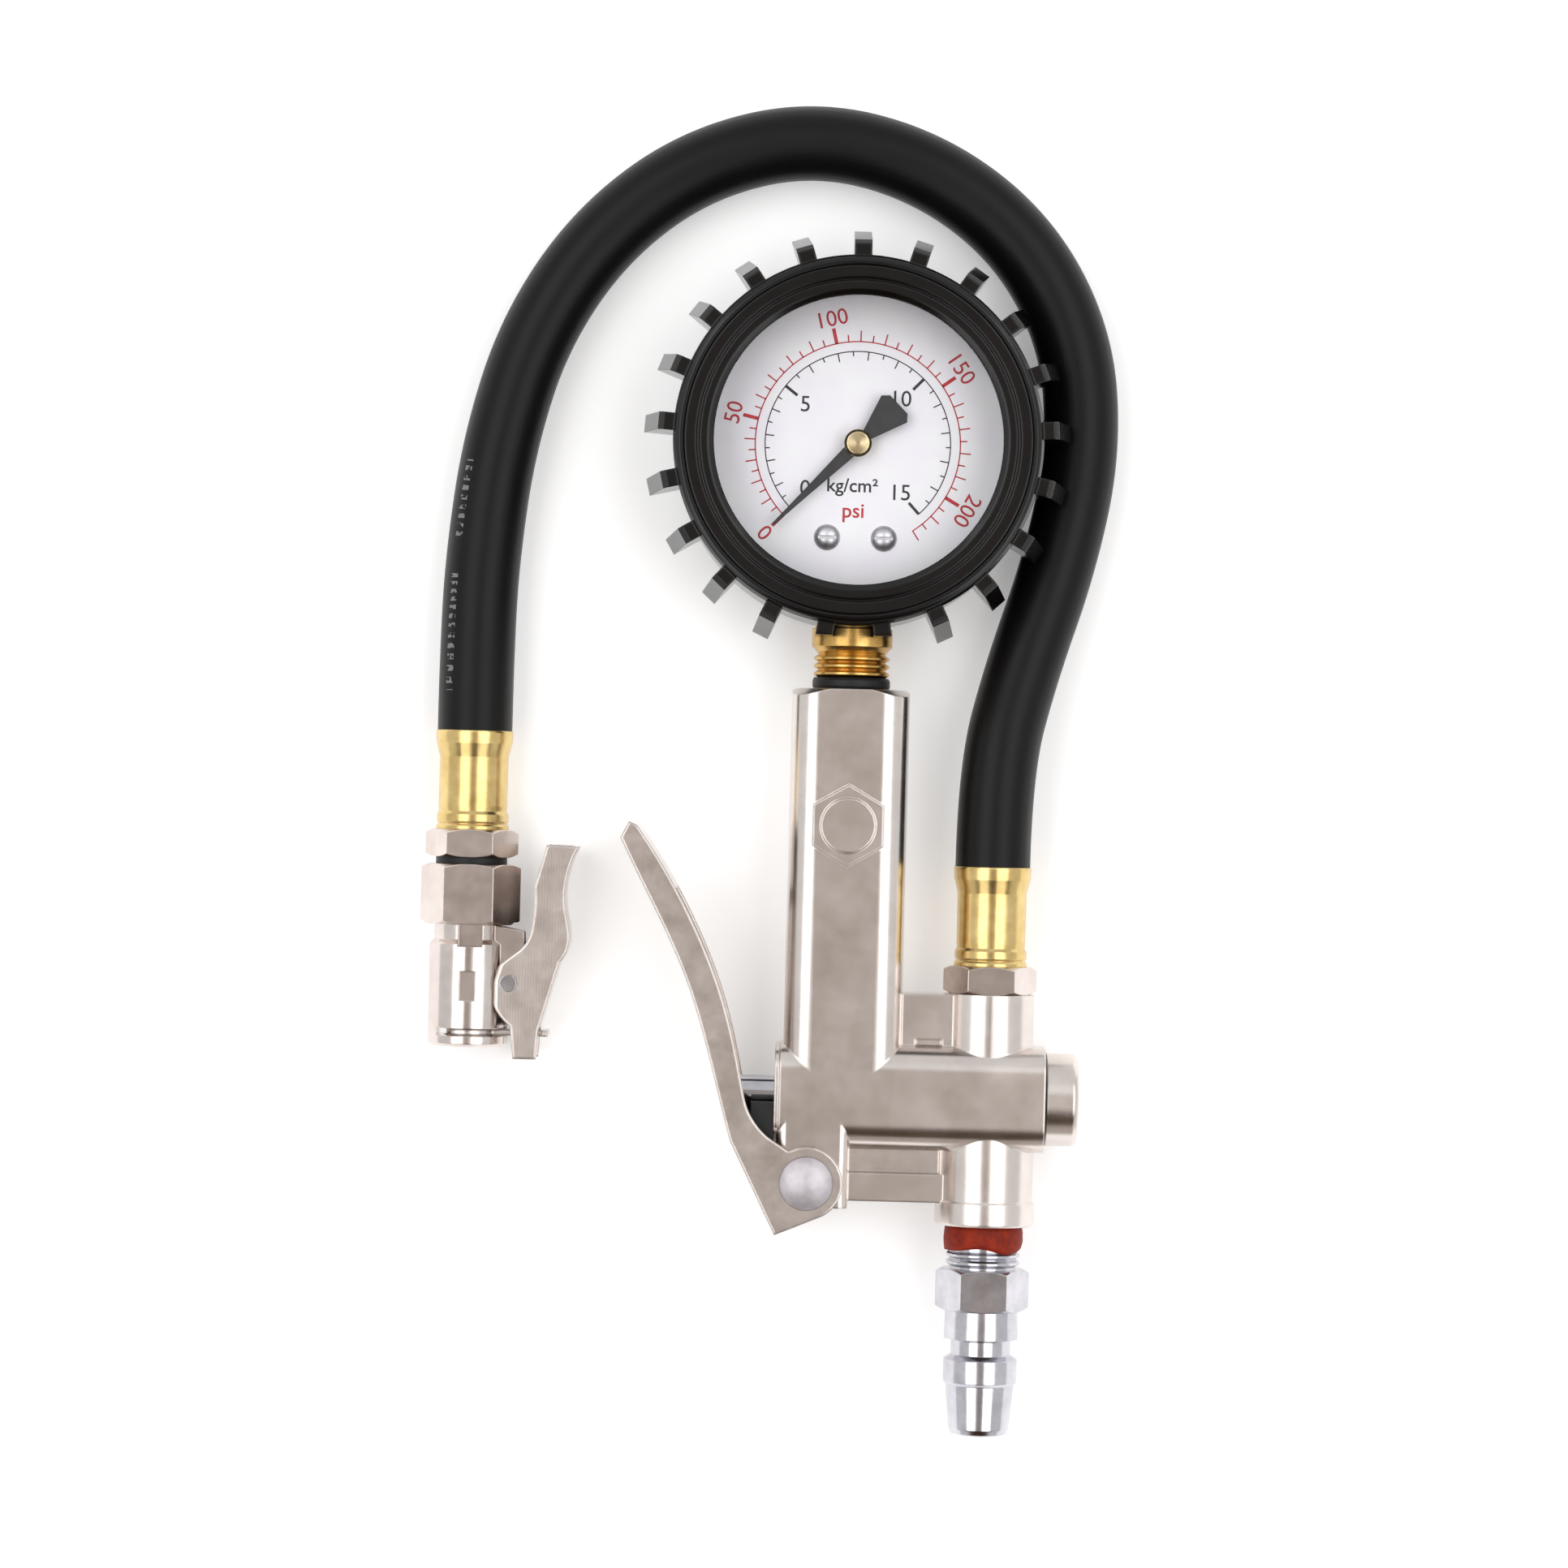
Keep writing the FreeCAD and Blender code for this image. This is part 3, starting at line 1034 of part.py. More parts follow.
def chuck_body():
    """Hexagon, waist, slotted sleeve and the pair of ears for the thumb lever."""
    union_foot, washer_foot, hex_foot = chuck_levels()[1:]
    at = V(CHUCK_X, 0, CHUCK_Z)
    hexed = chamfered_hex(CHUCK_HEX_AF, V(CHUCK_X, washer_foot, CHUCK_Z), CHUCK_HEX_LEN)
    neck_foot = hex_foot - CHUCK_NECK_LEN
    profile = [(hex_foot + 0.5, 0), (hex_foot + 0.5, CHUCK_NECK_R), (neck_foot + 0.8, CHUCK_NECK_R),
               (neck_foot, CHUCK_R),
               (CHUCK_END + 0.5, CHUCK_R), (CHUCK_END, CHUCK_R - 0.5), (CHUCK_END, 0)]
    sleeve = turned(profile, at)
    ear = [(CHUCK_X + 4.5, -28.4), (CHUCK_X + 9.6, -29.4), (CHUCK_X + 9.9, -33.5), (CHUCK_X + 8.2, -41.0),
           (CHUCK_X + 5.4, -44.6)]
    ears = plate(ear, CHUCK_Z - CHUCK_EAR_OUT, CHUCK_Z + CHUCK_EAR_OUT)
    body = hexed.multiFuse([sleeve, ears])
    ear_slot = box(V(CHUCK_X + CHUCK_SEAL_R + 0.7, -45.5, CHUCK_Z - CHUCK_EAR_IN),
                   V(CHUCK_X + 12.0, -27.9, CHUCK_Z + CHUCK_EAR_IN))
    seal_top = CHUCK_SEAL_Y + CHUCK_SEAL_LEN
    jaw_slot = box(V(CHUCK_X - 5.0, JAW_Y - JAW_T / 2 - 0.15, CHUCK_Z - 5.6),
                   V(CHUCK_X + 12.0, JAW_Y + JAW_T / 2 + 0.15, CHUCK_Z + 8.0))
    window = box(V(CHUCK_X - 1.7, neck_foot - 0.4, CHUCK_Z + CHUCK_NECK_R - 2.4),
                 V(CHUCK_X + 2.6, hex_foot + 0.1, CHUCK_Z + 9.0))
    notch = box(V(CHUCK_X - 1.2, -41.5, CHUCK_Z + CHUCK_R - 0.7), V(CHUCK_X + 1.6, -36.4, CHUCK_Z + 9.0))
    cuts = [
        ear_slot, jaw_slot, window, notch,
        rod(CHUCK_BORE_R, at + V(0, CHUCK_END, 0), at + V(0, CHUCK_SEAL_Y, 0)),
        turned([(CHUCK_END, 0), (CHUCK_END, CHUCK_BORE_R + 0.7), (CHUCK_END + 0.7, CHUCK_BORE_R),
                (CHUCK_END + 0.7, 0)], at),
        rod(CHUCK_SEAL_R, at + V(0, CHUCK_SEAL_Y, 0), at + V(0, seal_top, 0)),
        rod(CHUCK_AIRWAY_R, at + V(0, seal_top, 0), at + V(0, washer_foot, 0)),
        rod(UNION_THREAD_R, at + V(0, washer_foot - 7.0, 0), at + V(0, washer_foot, 0)),
        rod(CHUCK_PIVOT_R, chuck_pivot(-1.0), chuck_pivot(2 * CHUCK_Z + 1.0)),
    ]
    for tool in cuts:
        body = body.cut(tool)
    return body


def chuck_pivot(z):
    return V(CHUCK_X + CHUCK_PIVOT_DX, CHUCK_PIVOT_Y, z)


def chuck_washer():
    at = V(CHUCK_X, chuck_levels()[2], CHUCK_Z)
    return ring(CHUCK_WASHER_R, UNION_THREAD_R, at, at + V(0, CHUCK_WASHER_T, 0))


def chuck_seal():
    """The rubber washer that the valve stem's end is pressed on."""
    at = V(CHUCK_X, CHUCK_SEAL_Y, CHUCK_Z)
    return ring(CHUCK_SEAL_R, CHUCK_SEAL_BORE_R, at, at + V(0, CHUCK_SEAL_LEN, 0))


def core_depressor():
    """The flanged pin behind the seal that opens the tyre valve's core."""
    top = CHUCK_SEAL_Y + CHUCK_SEAL_LEN
    tip = CHUCK_SEAL_Y + DEPRESSOR_SHY
    profile = [(tip, 0), (tip, DEPRESSOR_R), (top, DEPRESSOR_R), (top, CHUCK_AIRWAY_R),
               (top + 1.2, CHUCK_AIRWAY_R), (top + 1.2, 0)]
    shape = turned(profile, V(CHUCK_X, 0, CHUCK_Z))
    for k in range(3):
        a = math.radians(90 + 120 * k)
        at = V(CHUCK_X + 1.7 * math.cos(a), top - 1, CHUCK_Z + 1.7 * math.sin(a))
        shape = shape.cut(rod(0.55, at, at + V(0, 4, 0)))
    return shape


def chuck_pivot_pin():
    reach = CHUCK_LEVER_OUT + RIVET_PLAY
    shank = rod(CHUCK_PIVOT_R, chuck_pivot(CHUCK_Z - reach), chuck_pivot(CHUCK_Z + reach))
    front = rod(1.5, chuck_pivot(CHUCK_Z + reach), chuck_pivot(CHUCK_Z + reach + 0.5))
    back = rod(1.5, chuck_pivot(CHUCK_Z - reach - 0.5), chuck_pivot(CHUCK_Z - reach))
    return shank.multiFuse([front, back])


CHUCK_LEVER_RIGHT = [(-46.4, -14.4), (-48.4, -20.0), (-48.6, -24.5), (-47.7, -29.9), (-49.3, -34.5),
                     (-52.7, -46.4), (-53.0, -51.4)]
CHUCK_LEVER_LEFT = [(-57.0, -51.4), (-57.6, -45.8), (-60.4, -42.4), (-61.0, -38.6), (-60.2, -36.0),
                    (-55.4, -31.5), (-54.0, -26.5),
                    (-54.0, -21.5), (-52.0, -14.2)]


def chuck_lever():
    """The thumb lever: a curved web with two cheeks, forked at its foot to pull the jaw."""
    outline = CHUCK_LEVER_RIGHT + CHUCK_LEVER_LEFT
    last = len(CHUCK_LEVER_RIGHT) - 1
    solid = smooth_plate(outline, CHUCK_Z - CHUCK_LEVER_OUT, CHUCK_Z + CHUCK_LEVER_OUT,
                         [(0, last - 2), (last + 2, len(outline) - 2)])
    inside = [(x - CHUCK_LEVER_SHEET, y) for x, y in CHUCK_LEVER_RIGHT[:-1]]
    foot_x, foot_y = CHUCK_LEVER_RIGHT[-1]
    top_y = inside[0][1] + 2.0
    hollow_line = inside + [(foot_x - CHUCK_LEVER_SHEET, foot_y - 2.0), (CHUCK_X - 8.0, foot_y - 2.0)]
    hollow_line += [(CHUCK_X - 8.0, top_y), (inside[0][0] + 0.7, top_y)]
    hollow = smooth_plate(hollow_line, CHUCK_Z - CHUCK_LEVER_IN, CHUCK_Z + CHUCK_LEVER_IN,
                          [(0, len(inside) - 2)])
    fork = box(V(foot_x - 3.0, foot_y - 1.0, CHUCK_Z - JAW_HALF_W - 0.3),
               V(foot_x + 3.0, JAW_Y + JAW_T / 2 + 0.5, CHUCK_Z + JAW_HALF_W + 0.3))
    sleeve = rod(CHUCK_R + FREE_GAP, V(CHUCK_X, CHUCK_END - 2, CHUCK_Z), V(CHUCK_X, -30, CHUCK_Z))
    pressed = sleeve.copy()
    pressed.rotate(chuck_pivot(0), AXES["Z"], -CHUCK_LEVER_TRAVEL)
    hole = rod(CHUCK_PIVOT_R + RUN_GAP, chuck_pivot(-1), chuck_pivot(2 * CHUCK_Z + 1))
    return solid.cut(hollow).cut(fork).cut(sleeve).cut(pressed).cut(hole)


def chuck_lever_spring():
    """A torsion spring round the pivot between the ears, its long leg against the lever's web."""
    turns = coil(chuck_pivot(CHUCK_Z - 1.3), "Z", 2.6, 1.25, 0.2, 4)
    start = chuck_pivot(CHUCK_Z - 1.3) + V(1.25, 0, 0)
    leg = rod(0.2, start, V(-50.6, -30.0, CHUCK_Z - 1.3))
    return turns.fuse(leg)


def chuck_jaw():
    """The sliding plate whose hole bites the valve's thread; its head hooks behind the lever's fork."""
    low_y = JAW_Y - JAW_T / 2
    centre = V(CHUCK_X - JAW_BITE, low_y, CHUCK_Z)
    web_x = jaw_web_x()
    head_x = web_x + 0.6
    high_y = low_y + JAW_T
    tongue = box(V(CHUCK_X, low_y, CHUCK_Z - JAW_HALF_W), V(head_x + 0.1, high_y, CHUCK_Z + JAW_HALF_W))
    head = box(V(head_x, low_y, CHUCK_Z - JAW_HEAD_HALF_W),
               V(head_x + 1.0, high_y, CHUCK_Z + JAW_HEAD_HALF_W))
    disc = rod(CHUCK_R - 1.5, V(CHUCK_X, low_y, CHUCK_Z), V(CHUCK_X, low_y + JAW_T, CHUCK_Z))
    disc = disc.common(box(V(CHUCK_X - 2.6, low_y - 1, 0), V(CHUCK_X + 20, low_y + 2, 2 * CHUCK_Z)))
    hole = rod(JAW_HOLE_R, centre - V(0, 1, 0), centre + V(0, 2, 0))
    return disc.multiFuse([tongue, head]).cut(hole)


def jaw_web_x():
    """X of the lever web's outer face at the jaw's height."""
    (x0, y0), (x1, y1) = CHUCK_LEVER_RIGHT[-2:]
    return max(x0, x1)


# ---- hose ----------------------------------------------------------------------------------
def hose_path(route):
    """Straight runs joined by tangent arcs as large as the shorter run beside each point allows."""
    edges = []
    last = route[0]
    length = 0.0
    for k in range(1, len(route) - 1):
        before = route[k] - route[k - 1]
        after = route[k + 1] - route[k]
        turn = before.getAngle(after)
        tangent = 0.45 * min(before.Length, after.Length)
        radius = tangent / math.tan(turn / 2)
        into = V(before).normalize()
        out = V(after).normalize()
        start = route[k] - into * tangent
        end = route[k] + out * tangent
        toward = (out - into).normalize()
        middle = route[k] + toward * (radius / math.cos(turn / 2) - radius)
        edges.append(Part.makeLine(last, start))
        edges.append(Part.Arc(start, middle, end).toShape())
        length += (start - last).Length + radius * turn
        print("hose arc", k, "radius", round(radius, 1), "turn", round(math.degrees(turn), 1))
        last = end
    edges.append(Part.makeLine(last, route[-1]))
    length += (route[-1] - last).Length
    return Part.Wire(edges), length


def hose():
    path, length = hose_path(HOSE_ROUTE)
    section = Part.Wire(Part.makeCircle(HOSE_R, HOSE_ROUTE[0], HOSE_ROUTE[1] - HOSE_ROUTE[0]))
    tube = path.makePipeShell([section], True, True)
    expected = math.pi * HOSE_R ** 2 * length
    print("hose length", round(length, 2), "volume ratio", round(tube.Volume / expected, 5))
    return tube


# ---- output --------------------------------------------------------------------------------
def build():
    """Every node by name."""
    body_foot = HOSE_PORT_TOP + UNION_HEX_LEN
    chuck_foot = chuck_levels()[0]
    body_union = union_fitting(body_foot, PORT_X, MID_Z, HOSE_SOCKET_DEPTH - 1.0)
    chuck_union = union_fitting(chuck_foot, CHUCK_X, CHUCK_Z, 7.0)
    back_plate, front_plate = movement_plates()
    return {
        "valve_body": valve_body(),
        "guide_bush": guide_bush(),
        "rod_seal": rod_seal(),
        "valve_seat": valve_seat(),
        "valve_spring": valve_spring(),
        "end_cap": end_cap(),
        "end_cap_seal": end_cap_seal(),
        "spindle": spindle(),
        "poppet": poppet(),
        "poppet_seal": poppet_seal(),
        "lever": lever(),
        "lever_rivet": lever_rivet(),
        "lever_buffer": lever_buffer(),
        "hose_fitting_body_end": body_union,
        "ferrule_body_end": ferrule(body_foot, PORT_X, MID_Z),
        "hose_end_body": hose_end(body_foot, PORT_X, MID_Z, body_union),
        "inlet_plug": inlet_plug(),
        "inlet_seal": inlet_seal(),
        "gauge_stem_seal": gauge_stem_seal(),
        "gauge_socket": gauge_socket(),
        "gauge_boot": gauge_boot(),
        "gauge_case": gauge_case(),
        "case_screws": Part.makeCompound(case_screws()),
        "gauge_bezel": gauge_bezel(),
        "lens_gasket": lens_gasket(),
        "gauge_lens": gauge_lens(),
        "dial_plate": dial_plate(),
        "dial_screws": Part.makeCompound(dial_screws()),
        "bourdon_tube": bourdon_tube(),
        "tube_tip": tube_tip(),
        "movement_back_plate": back_plate,
        "movement_front_plate": front_plate,
        "movement_pillars": Part.makeCompound(movement_pillars()),
        "movement_screws": Part.makeCompound(movement_screws()),
        "hairspring": hairspring(),
        "pinion": pinion(),
        "sector_gear": sector_gear(),
        "gauge_link": gauge_link(),
        "pointer": pointer(),
        "pointer_hub": pointer_hub(),
        "hose": hose(),
        "ferrule_chuck_end": ferrule(chuck_foot, CHUCK_X, CHUCK_Z),
        "hose_end_chuck": hose_end(chuck_foot, CHUCK_X, CHUCK_Z, chuck_union),
        "hose_fitting_chuck_end": chuck_union,
        "chuck_washer": chuck_washer(),
        "chuck_body": chuck_body(),
        "chuck_seal": chuck_seal(),
        "core_depressor": core_depressor(),
        "chuck_pivot_pin": chuck_pivot_pin(),
        "chuck_lever": chuck_lever(),
        "chuck_lever_spring": chuck_lever_spring(),
        "chuck_jaw": chuck_jaw(),
    }


os.makedirs("parts", exist_ok=True)
for name, shape in build().items():
    shape.translate(ORIGIN * -1)
    if not shape.isValid() or len(shape.Solids) == 0:
        print("check this shape:", name, shape.isValid(), len(shape.Solids))
    shape.exportStep("parts/" + name + ".step")
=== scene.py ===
import math
import random

import bmesh
import bpy
from mathutils import Matrix, Vector


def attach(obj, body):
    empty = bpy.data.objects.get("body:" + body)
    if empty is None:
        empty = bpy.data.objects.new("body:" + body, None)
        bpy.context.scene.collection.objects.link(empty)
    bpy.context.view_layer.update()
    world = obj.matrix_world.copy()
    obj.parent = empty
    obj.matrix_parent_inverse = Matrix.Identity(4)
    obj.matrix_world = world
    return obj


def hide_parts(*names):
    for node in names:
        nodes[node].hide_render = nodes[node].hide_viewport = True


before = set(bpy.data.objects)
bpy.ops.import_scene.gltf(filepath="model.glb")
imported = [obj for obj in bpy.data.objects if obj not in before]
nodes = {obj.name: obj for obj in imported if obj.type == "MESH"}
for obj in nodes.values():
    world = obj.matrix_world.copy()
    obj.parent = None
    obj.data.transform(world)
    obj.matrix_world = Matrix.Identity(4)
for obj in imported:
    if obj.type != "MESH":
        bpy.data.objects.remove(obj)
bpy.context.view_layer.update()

MM = 0.001

# Places on the gun, in millimetres in the row frame.
HANDLE_X = -1.0            # the gauge and the handle share this line
DIAL_Y = 66.95
DIAL_FACE_Z = 16.4
PORT_X = 24.4              # the hose's port and the inlet share this one
GUN_Z = 11.7


# ---- camera ------------------------------------------------------------------------------------
CAMERA_AT = (-12.2, 8.0, 851.1)
CAMERA_TURN = 1.5          # degrees, so that the gun leans a little to the right
CAMERA_LENS = 111.06
CAMERA_SENSOR = 36.0
CAMERA_SEES = (0.01, 20.0)  # metres, nearest and farthest

camera = bpy.data.objects.new("camera", bpy.data.cameras.new("camera"))
bpy.context.scene.collection.objects.link(camera)
camera.location = Vector(CAMERA_AT) * MM
camera.rotation_euler = (0.0, 0.0, math.radians(CAMERA_TURN))
camera.data.sensor_width = CAMERA_SENSOR
camera.data.lens = CAMERA_LENS
camera.data.clip_start, camera.data.clip_end = CAMERA_SEES
bpy.context.scene.camera = camera
bpy.context.scene.view_settings.view_transform = "Standard"


# ---- materials ---------------------------------------------------------------------------------
def linear(code):
    """A hex colour turned to linear light, with alpha."""
    parts = [int(code[i:i + 2], 16) / 255 for i in (0, 2, 4)]
    return (*(c / 12.92 if c <= 0.04045 else ((c + 0.055) / 1.055) ** 2.4 for c in parts), 1.0)


def add(tree, kind, inputs=None, **settings):
    """One node with its settings, and its sockets set or linked."""
    made = tree.nodes.new(kind)
    for name, value in settings.items():
        setattr(made, name, value)
    for name, value in (inputs or {}).items():
        if isinstance(value, bpy.types.NodeSocket):
            tree.links.new(value, made.inputs[name])
        else:
            made.inputs[name].default_value = value
    return made


def blank(name):
    """An empty material with an output, and its object coordinates."""
    material = bpy.data.materials.new(name)
    material.use_nodes = True
    tree = material.node_tree
    tree.nodes.clear()
    out = add(tree, "ShaderNodeOutputMaterial")
    place = add(tree, "ShaderNodeTexCoord").outputs["Object"]
    return material, tree, out, place


COLOUR_FROM = 0.3          # where in the noise a finish is wholly its dark colour
COLOUR_TO = 0.7            # and wholly its light one
WAVE_PERIOD = 0.314        # one band of a wave texture at scale 1


def finished(name, dark, light, metallic, rough, patch_mm, grain_mm, grain_depth_mm, ior=None,
             line_axis=None, line_mm=0.3, line_depth_mm=0.0, edge_mm=0.25, gloss=0.5):
    """A surface whose colour and gloss drift over patches, with a fine grain and, if asked, tool lines.

    Its sharp edges are drawn rounded to edge_mm.
    """
    material, tree, out, place = blank(name)
    patches = add(tree, "ShaderNodeTexNoise", {
        "Vector": place, "Scale": 1 / (patch_mm * MM), "Detail": 4.0, "Roughness": 0.6}).outputs["Fac"]
    colour = add(tree, "ShaderNodeValToRGB", {"Fac": patches})
    first, last = colour.color_ramp.elements
    first.position = COLOUR_FROM
    first.color = linear(dark)
    last.position = COLOUR_TO
    last.color = linear(light)
    grain = add(tree, "ShaderNodeTexNoise", {
        "Vector": place, "Scale": 1 / (grain_mm * MM), "Detail": 3.0}).outputs["Fac"]
    rounded = add(tree, "ShaderNodeBevel", {"Radius": edge_mm * MM}, samples=6).outputs["Normal"]
    normal = add(tree, "ShaderNodeBump", {
        "Height": grain, "Strength": 1.0, "Normal": rounded,
        "Distance": grain_depth_mm * MM}).outputs["Normal"]
    if line_axis is not None:
        lines = add(tree, "ShaderNodeTexWave", {
            "Vector": place, "Scale": WAVE_PERIOD / (line_mm * MM), "Distortion": 0.6, "Detail": 2.0},
            wave_type="BANDS", bands_direction=line_axis).outputs["Fac"]
        normal = add(tree, "ShaderNodeBump", {
            "Height": lines, "Strength": 1.0, "Normal": normal,
            "Distance": line_depth_mm * MM}).outputs["Normal"]
    roughness = add(tree, "ShaderNodeMapRange", {
        "Value": patches, "To Min": rough[0], "To Max": rough[1]}).outputs["Result"]
    shader = add(tree, "ShaderNodeBsdfPrincipled", {
        "Base Color": colour.outputs["Color"], "Metallic": metallic, "Roughness": roughness,
        "Normal": normal, "Specular IOR Level": gloss})
    if ior:
        shader.inputs["IOR"].default_value = ior
    tree.links.new(shader.outputs["BSDF"], out.inputs["Surface"])
    return material


# Nickel plate over a die casting: a warm grey mirror dulled to satin by the casting's skin.
NICKEL = finished(
    "satin_nickel_plated_casting", "D6CDC7", "E4DCD7", metallic=1.0, rough=(0.17, 0.27), patch_mm=9.0,
    grain_mm=0.45, grain_depth_mm=0.0035, edge_mm=0.5)
# Nickel plate over a machined part: smoother, so its lights are sharper, with faint turning lines.
BRIGHT_NICKEL = finished(
    "bright_nickel_plated_brass", "CFC4BE", "E0D6D1", metallic=1.0, rough=(0.12, 0.2), patch_mm=6.0,
    grain_mm=0.3, grain_depth_mm=0.002, line_axis="Y", line_mm=0.35, line_depth_mm=0.0012)
# Pressed steel with nickel plate: satin, with marks drawn along the sheet and soft edges.
PRESSED_NICKEL = finished(
    "nickel_plated_pressed_steel", "CDC4BE", "DED6D1", metallic=1.0, rough=(0.18, 0.28), patch_mm=5.0,
    grain_mm=0.3, grain_depth_mm=0.003, line_axis="X", line_mm=0.5, line_depth_mm=0.001, edge_mm=0.7)
# Zinc plate with a clear bluish chromate over turned steel: bright, cool, with turning lines.
ZINC = finished(
    "zinc_plated_turned_steel", "B9B8BE", "D2D1D7", metallic=1.0, rough=(0.11, 0.18), patch_mm=4.0,
    grain_mm=0.25, grain_depth_mm=0.0015, line_axis="Y", line_mm=0.4, line_depth_mm=0.002)
# The same plate on a headed rivet: a duller, peened skin.
RIVET = finished(
    "zinc_plated_rivet_steel", "B9B3B8", "CFC9CD", metallic=1.0, rough=(0.45, 0.58), patch_mm=2.0,
    grain_mm=0.4, grain_depth_mm=0.006)
# The dial's small screws: plain zinc plate, satin.
DIAL_SCREW = finished(
    "zinc_plated_small_screws", "D2D2D6", "E6E6EA", metallic=1.0, rough=(0.32, 0.42), patch_mm=1.0,
    grain_mm=0.2, grain_depth_mm=0.002, edge_mm=0.15)
# Pressed yellow brass, as crimped on a hose: golden, softly polished, with drawing lines along it.
FERRULE_BRASS = finished(
    "pressed_yellow_brass", "D0B272", "E2C98C", metallic=1.0, rough=(0.16, 0.28), patch_mm=3.0,
    grain_mm=0.35, grain_depth_mm=0.003, line_axis="X", line_mm=0.7, line_depth_mm=0.0015)
# Free-cutting brass left bare: deeper and browner, with the tool's rings.
TURNED_BRASS = finished(
    "turned_bare_brass", "BE9450", "DFB972", metallic=1.0, rough=(0.2, 0.32), patch_mm=3.5,
    grain_mm=0.3, grain_depth_mm=0.003, line_axis="Y", line_mm=0.3, line_depth_mm=0.002)
# Pale polished brass of the pointer's hub.
HUB_BRASS = finished(
    "polished_pale_brass", "D8C08E", "ECDCB4", metallic=1.0, rough=(0.14, 0.22), patch_mm=1.5,
    grain_mm=0.2, grain_depth_mm=0.002)
# Blanked clock brass of the movement.
CLOCK_BRASS = finished(
    "blanked_clock_brass", "C79A4A", "DDB665", metallic=1.0, rough=(0.25, 0.35), patch_mm=4.0,
    grain_mm=0.3, grain_depth_mm=0.002)
# Phosphor bronze strip: redder than brass, drawn smooth.
BRONZE = finished(
    "drawn_phosphor_bronze", "A86F3C", "C2884E", metallic=1.0, rough=(0.25, 0.35), patch_mm=3.0,
    grain_mm=0.3, grain_depth_mm=0.002)
# Spring wire: cool grey, drawn.
SPRING = finished(
    "drawn_spring_steel", "9A9A9C", "B5B5B8", metallic=1.0, rough=(0.25, 0.38), patch_mm=2.0,
    grain_mm=0.2, grain_depth_mm=0.002)
# Painted steel of the gauge case and its bezel: black enamel, nearly glossy.
ENAMEL = finished(
    "black_enamelled_steel", "09090B", "131316", metallic=0.0, rough=(0.2, 0.3), patch_mm=5.0,
    grain_mm=0.5, grain_depth_mm=0.004, ior=1.5)
# Moulded nitrile of the gauge's boot: black, smooth from the mould, with a soft gloss.
BOOT_RUBBER = finished(
    "moulded_nitrile_rubber", "060505", "0B0909", metallic=0.0, rough=(0.12, 0.2), patch_mm=6.0,
    grain_mm=0.5, grain_depth_mm=0.004, ior=1.52, edge_mm=0.5, gloss=0.4)
# Small moulded seals in matt black rubber. The same matt near-black is laid on the black piece that fills the
# gap under the push rod, between the lever and the barrel.
SEAL_RUBBER = finished(
    "moulded_seal_rubber", "0B0B0B", "151414", metallic=0.0, rough=(0.4, 0.55), patch_mm=3.0,
    grain_mm=0.3, grain_depth_mm=0.006, ior=1.52, gloss=0.35)
# Stoved black paint on the pointer, half matt.
POINTER_PAINT = finished(
    "black_stoved_paint", "1C1D20", "2C2D31", metallic=0.0, rough=(0.38, 0.5), patch_mm=2.0,
    grain_mm=0.2, grain_depth_mm=0.003, ior=1.5)
# Rolled aluminium with stoved white paint: the dial, a little cool.
DIAL_PAINT = finished(
    "white_stoved_dial", "FAF8FF", "FFFFFF", metallic=0.0, rough=(0.4, 0.5), patch_mm=7.0,
    grain_mm=0.25, grain_depth_mm=0.001, ior=1.5)
# Screen-printed inks, thin and matt.
RED_INK = finished(
    "red_screen_ink", "C81F2C", "DB3440", metallic=0.0, rough=(0.5, 0.6), patch_mm=2.0, grain_mm=0.2,
    grain_depth_mm=0.001, ior=1.48)
BLACK_INK = finished(
    "black_screen_ink", "1D1D22", "313137", metallic=0.0, rough=(0.5, 0.6), patch_mm=2.0, grain_mm=0.2,
    grain_depth_mm=0.001, ior=1.48)
# Thread sealant that has cured: brick red, nearly matt, a little lumpy.
SEALANT = finished(
    "cured_thread_sealant", "6A1402", "962806", metallic=0.0, rough=(0.5, 0.75), patch_mm=1.6,
    grain_mm=0.5, grain_depth_mm=0.05, ior=1.5, gloss=0.25)


HOSE_D = 13.0
HOSE_LENGTH = 287.3
HOSE_DRAWN_LINES = (24.0, 68.0, 1.0)     # along and round the hose: 12 mm long and 0.6 mm wide
HOSE_PATCH_MM = 11.0
HOSE_GRAIN_MM = 0.4
HOSE_LINE_DEPTH_MM = 0.012
HOSE_GRAIN_DEPTH_MM = 0.006
DASH_MM = 1.7                            # from one printed dash to the next
DASH_SHARE = 0.5                         # of that, how much is printed
DASH_BAND = (0.305, 0.345)               # round the hose, as a share of a turn
DASH_RUNS = [(5.0, 26.0), (33.0, 47.0)]  # millimetres back from the chuck end
DASH_WEAR_MM = 0.9                       # size of the spots where the print has rubbed off
DASH_LEFT = (0.47, 1.0)                  # the part of the wear noise where the print is still there


def inside(tree, value, low, high):
    """One where a value lies between two numbers, and nothing elsewhere."""
    above = add(tree, "ShaderNodeMath", {0: value, 1: low}, operation="GREATER_THAN").outputs["Value"]
    below = add(tree, "ShaderNodeMath", {0: value, 1: high}, operation="LESS_THAN").outputs["Value"]
    return add(tree, "ShaderNodeMath", {0: above, 1: below}, operation="MULTIPLY").outputs["Value"]


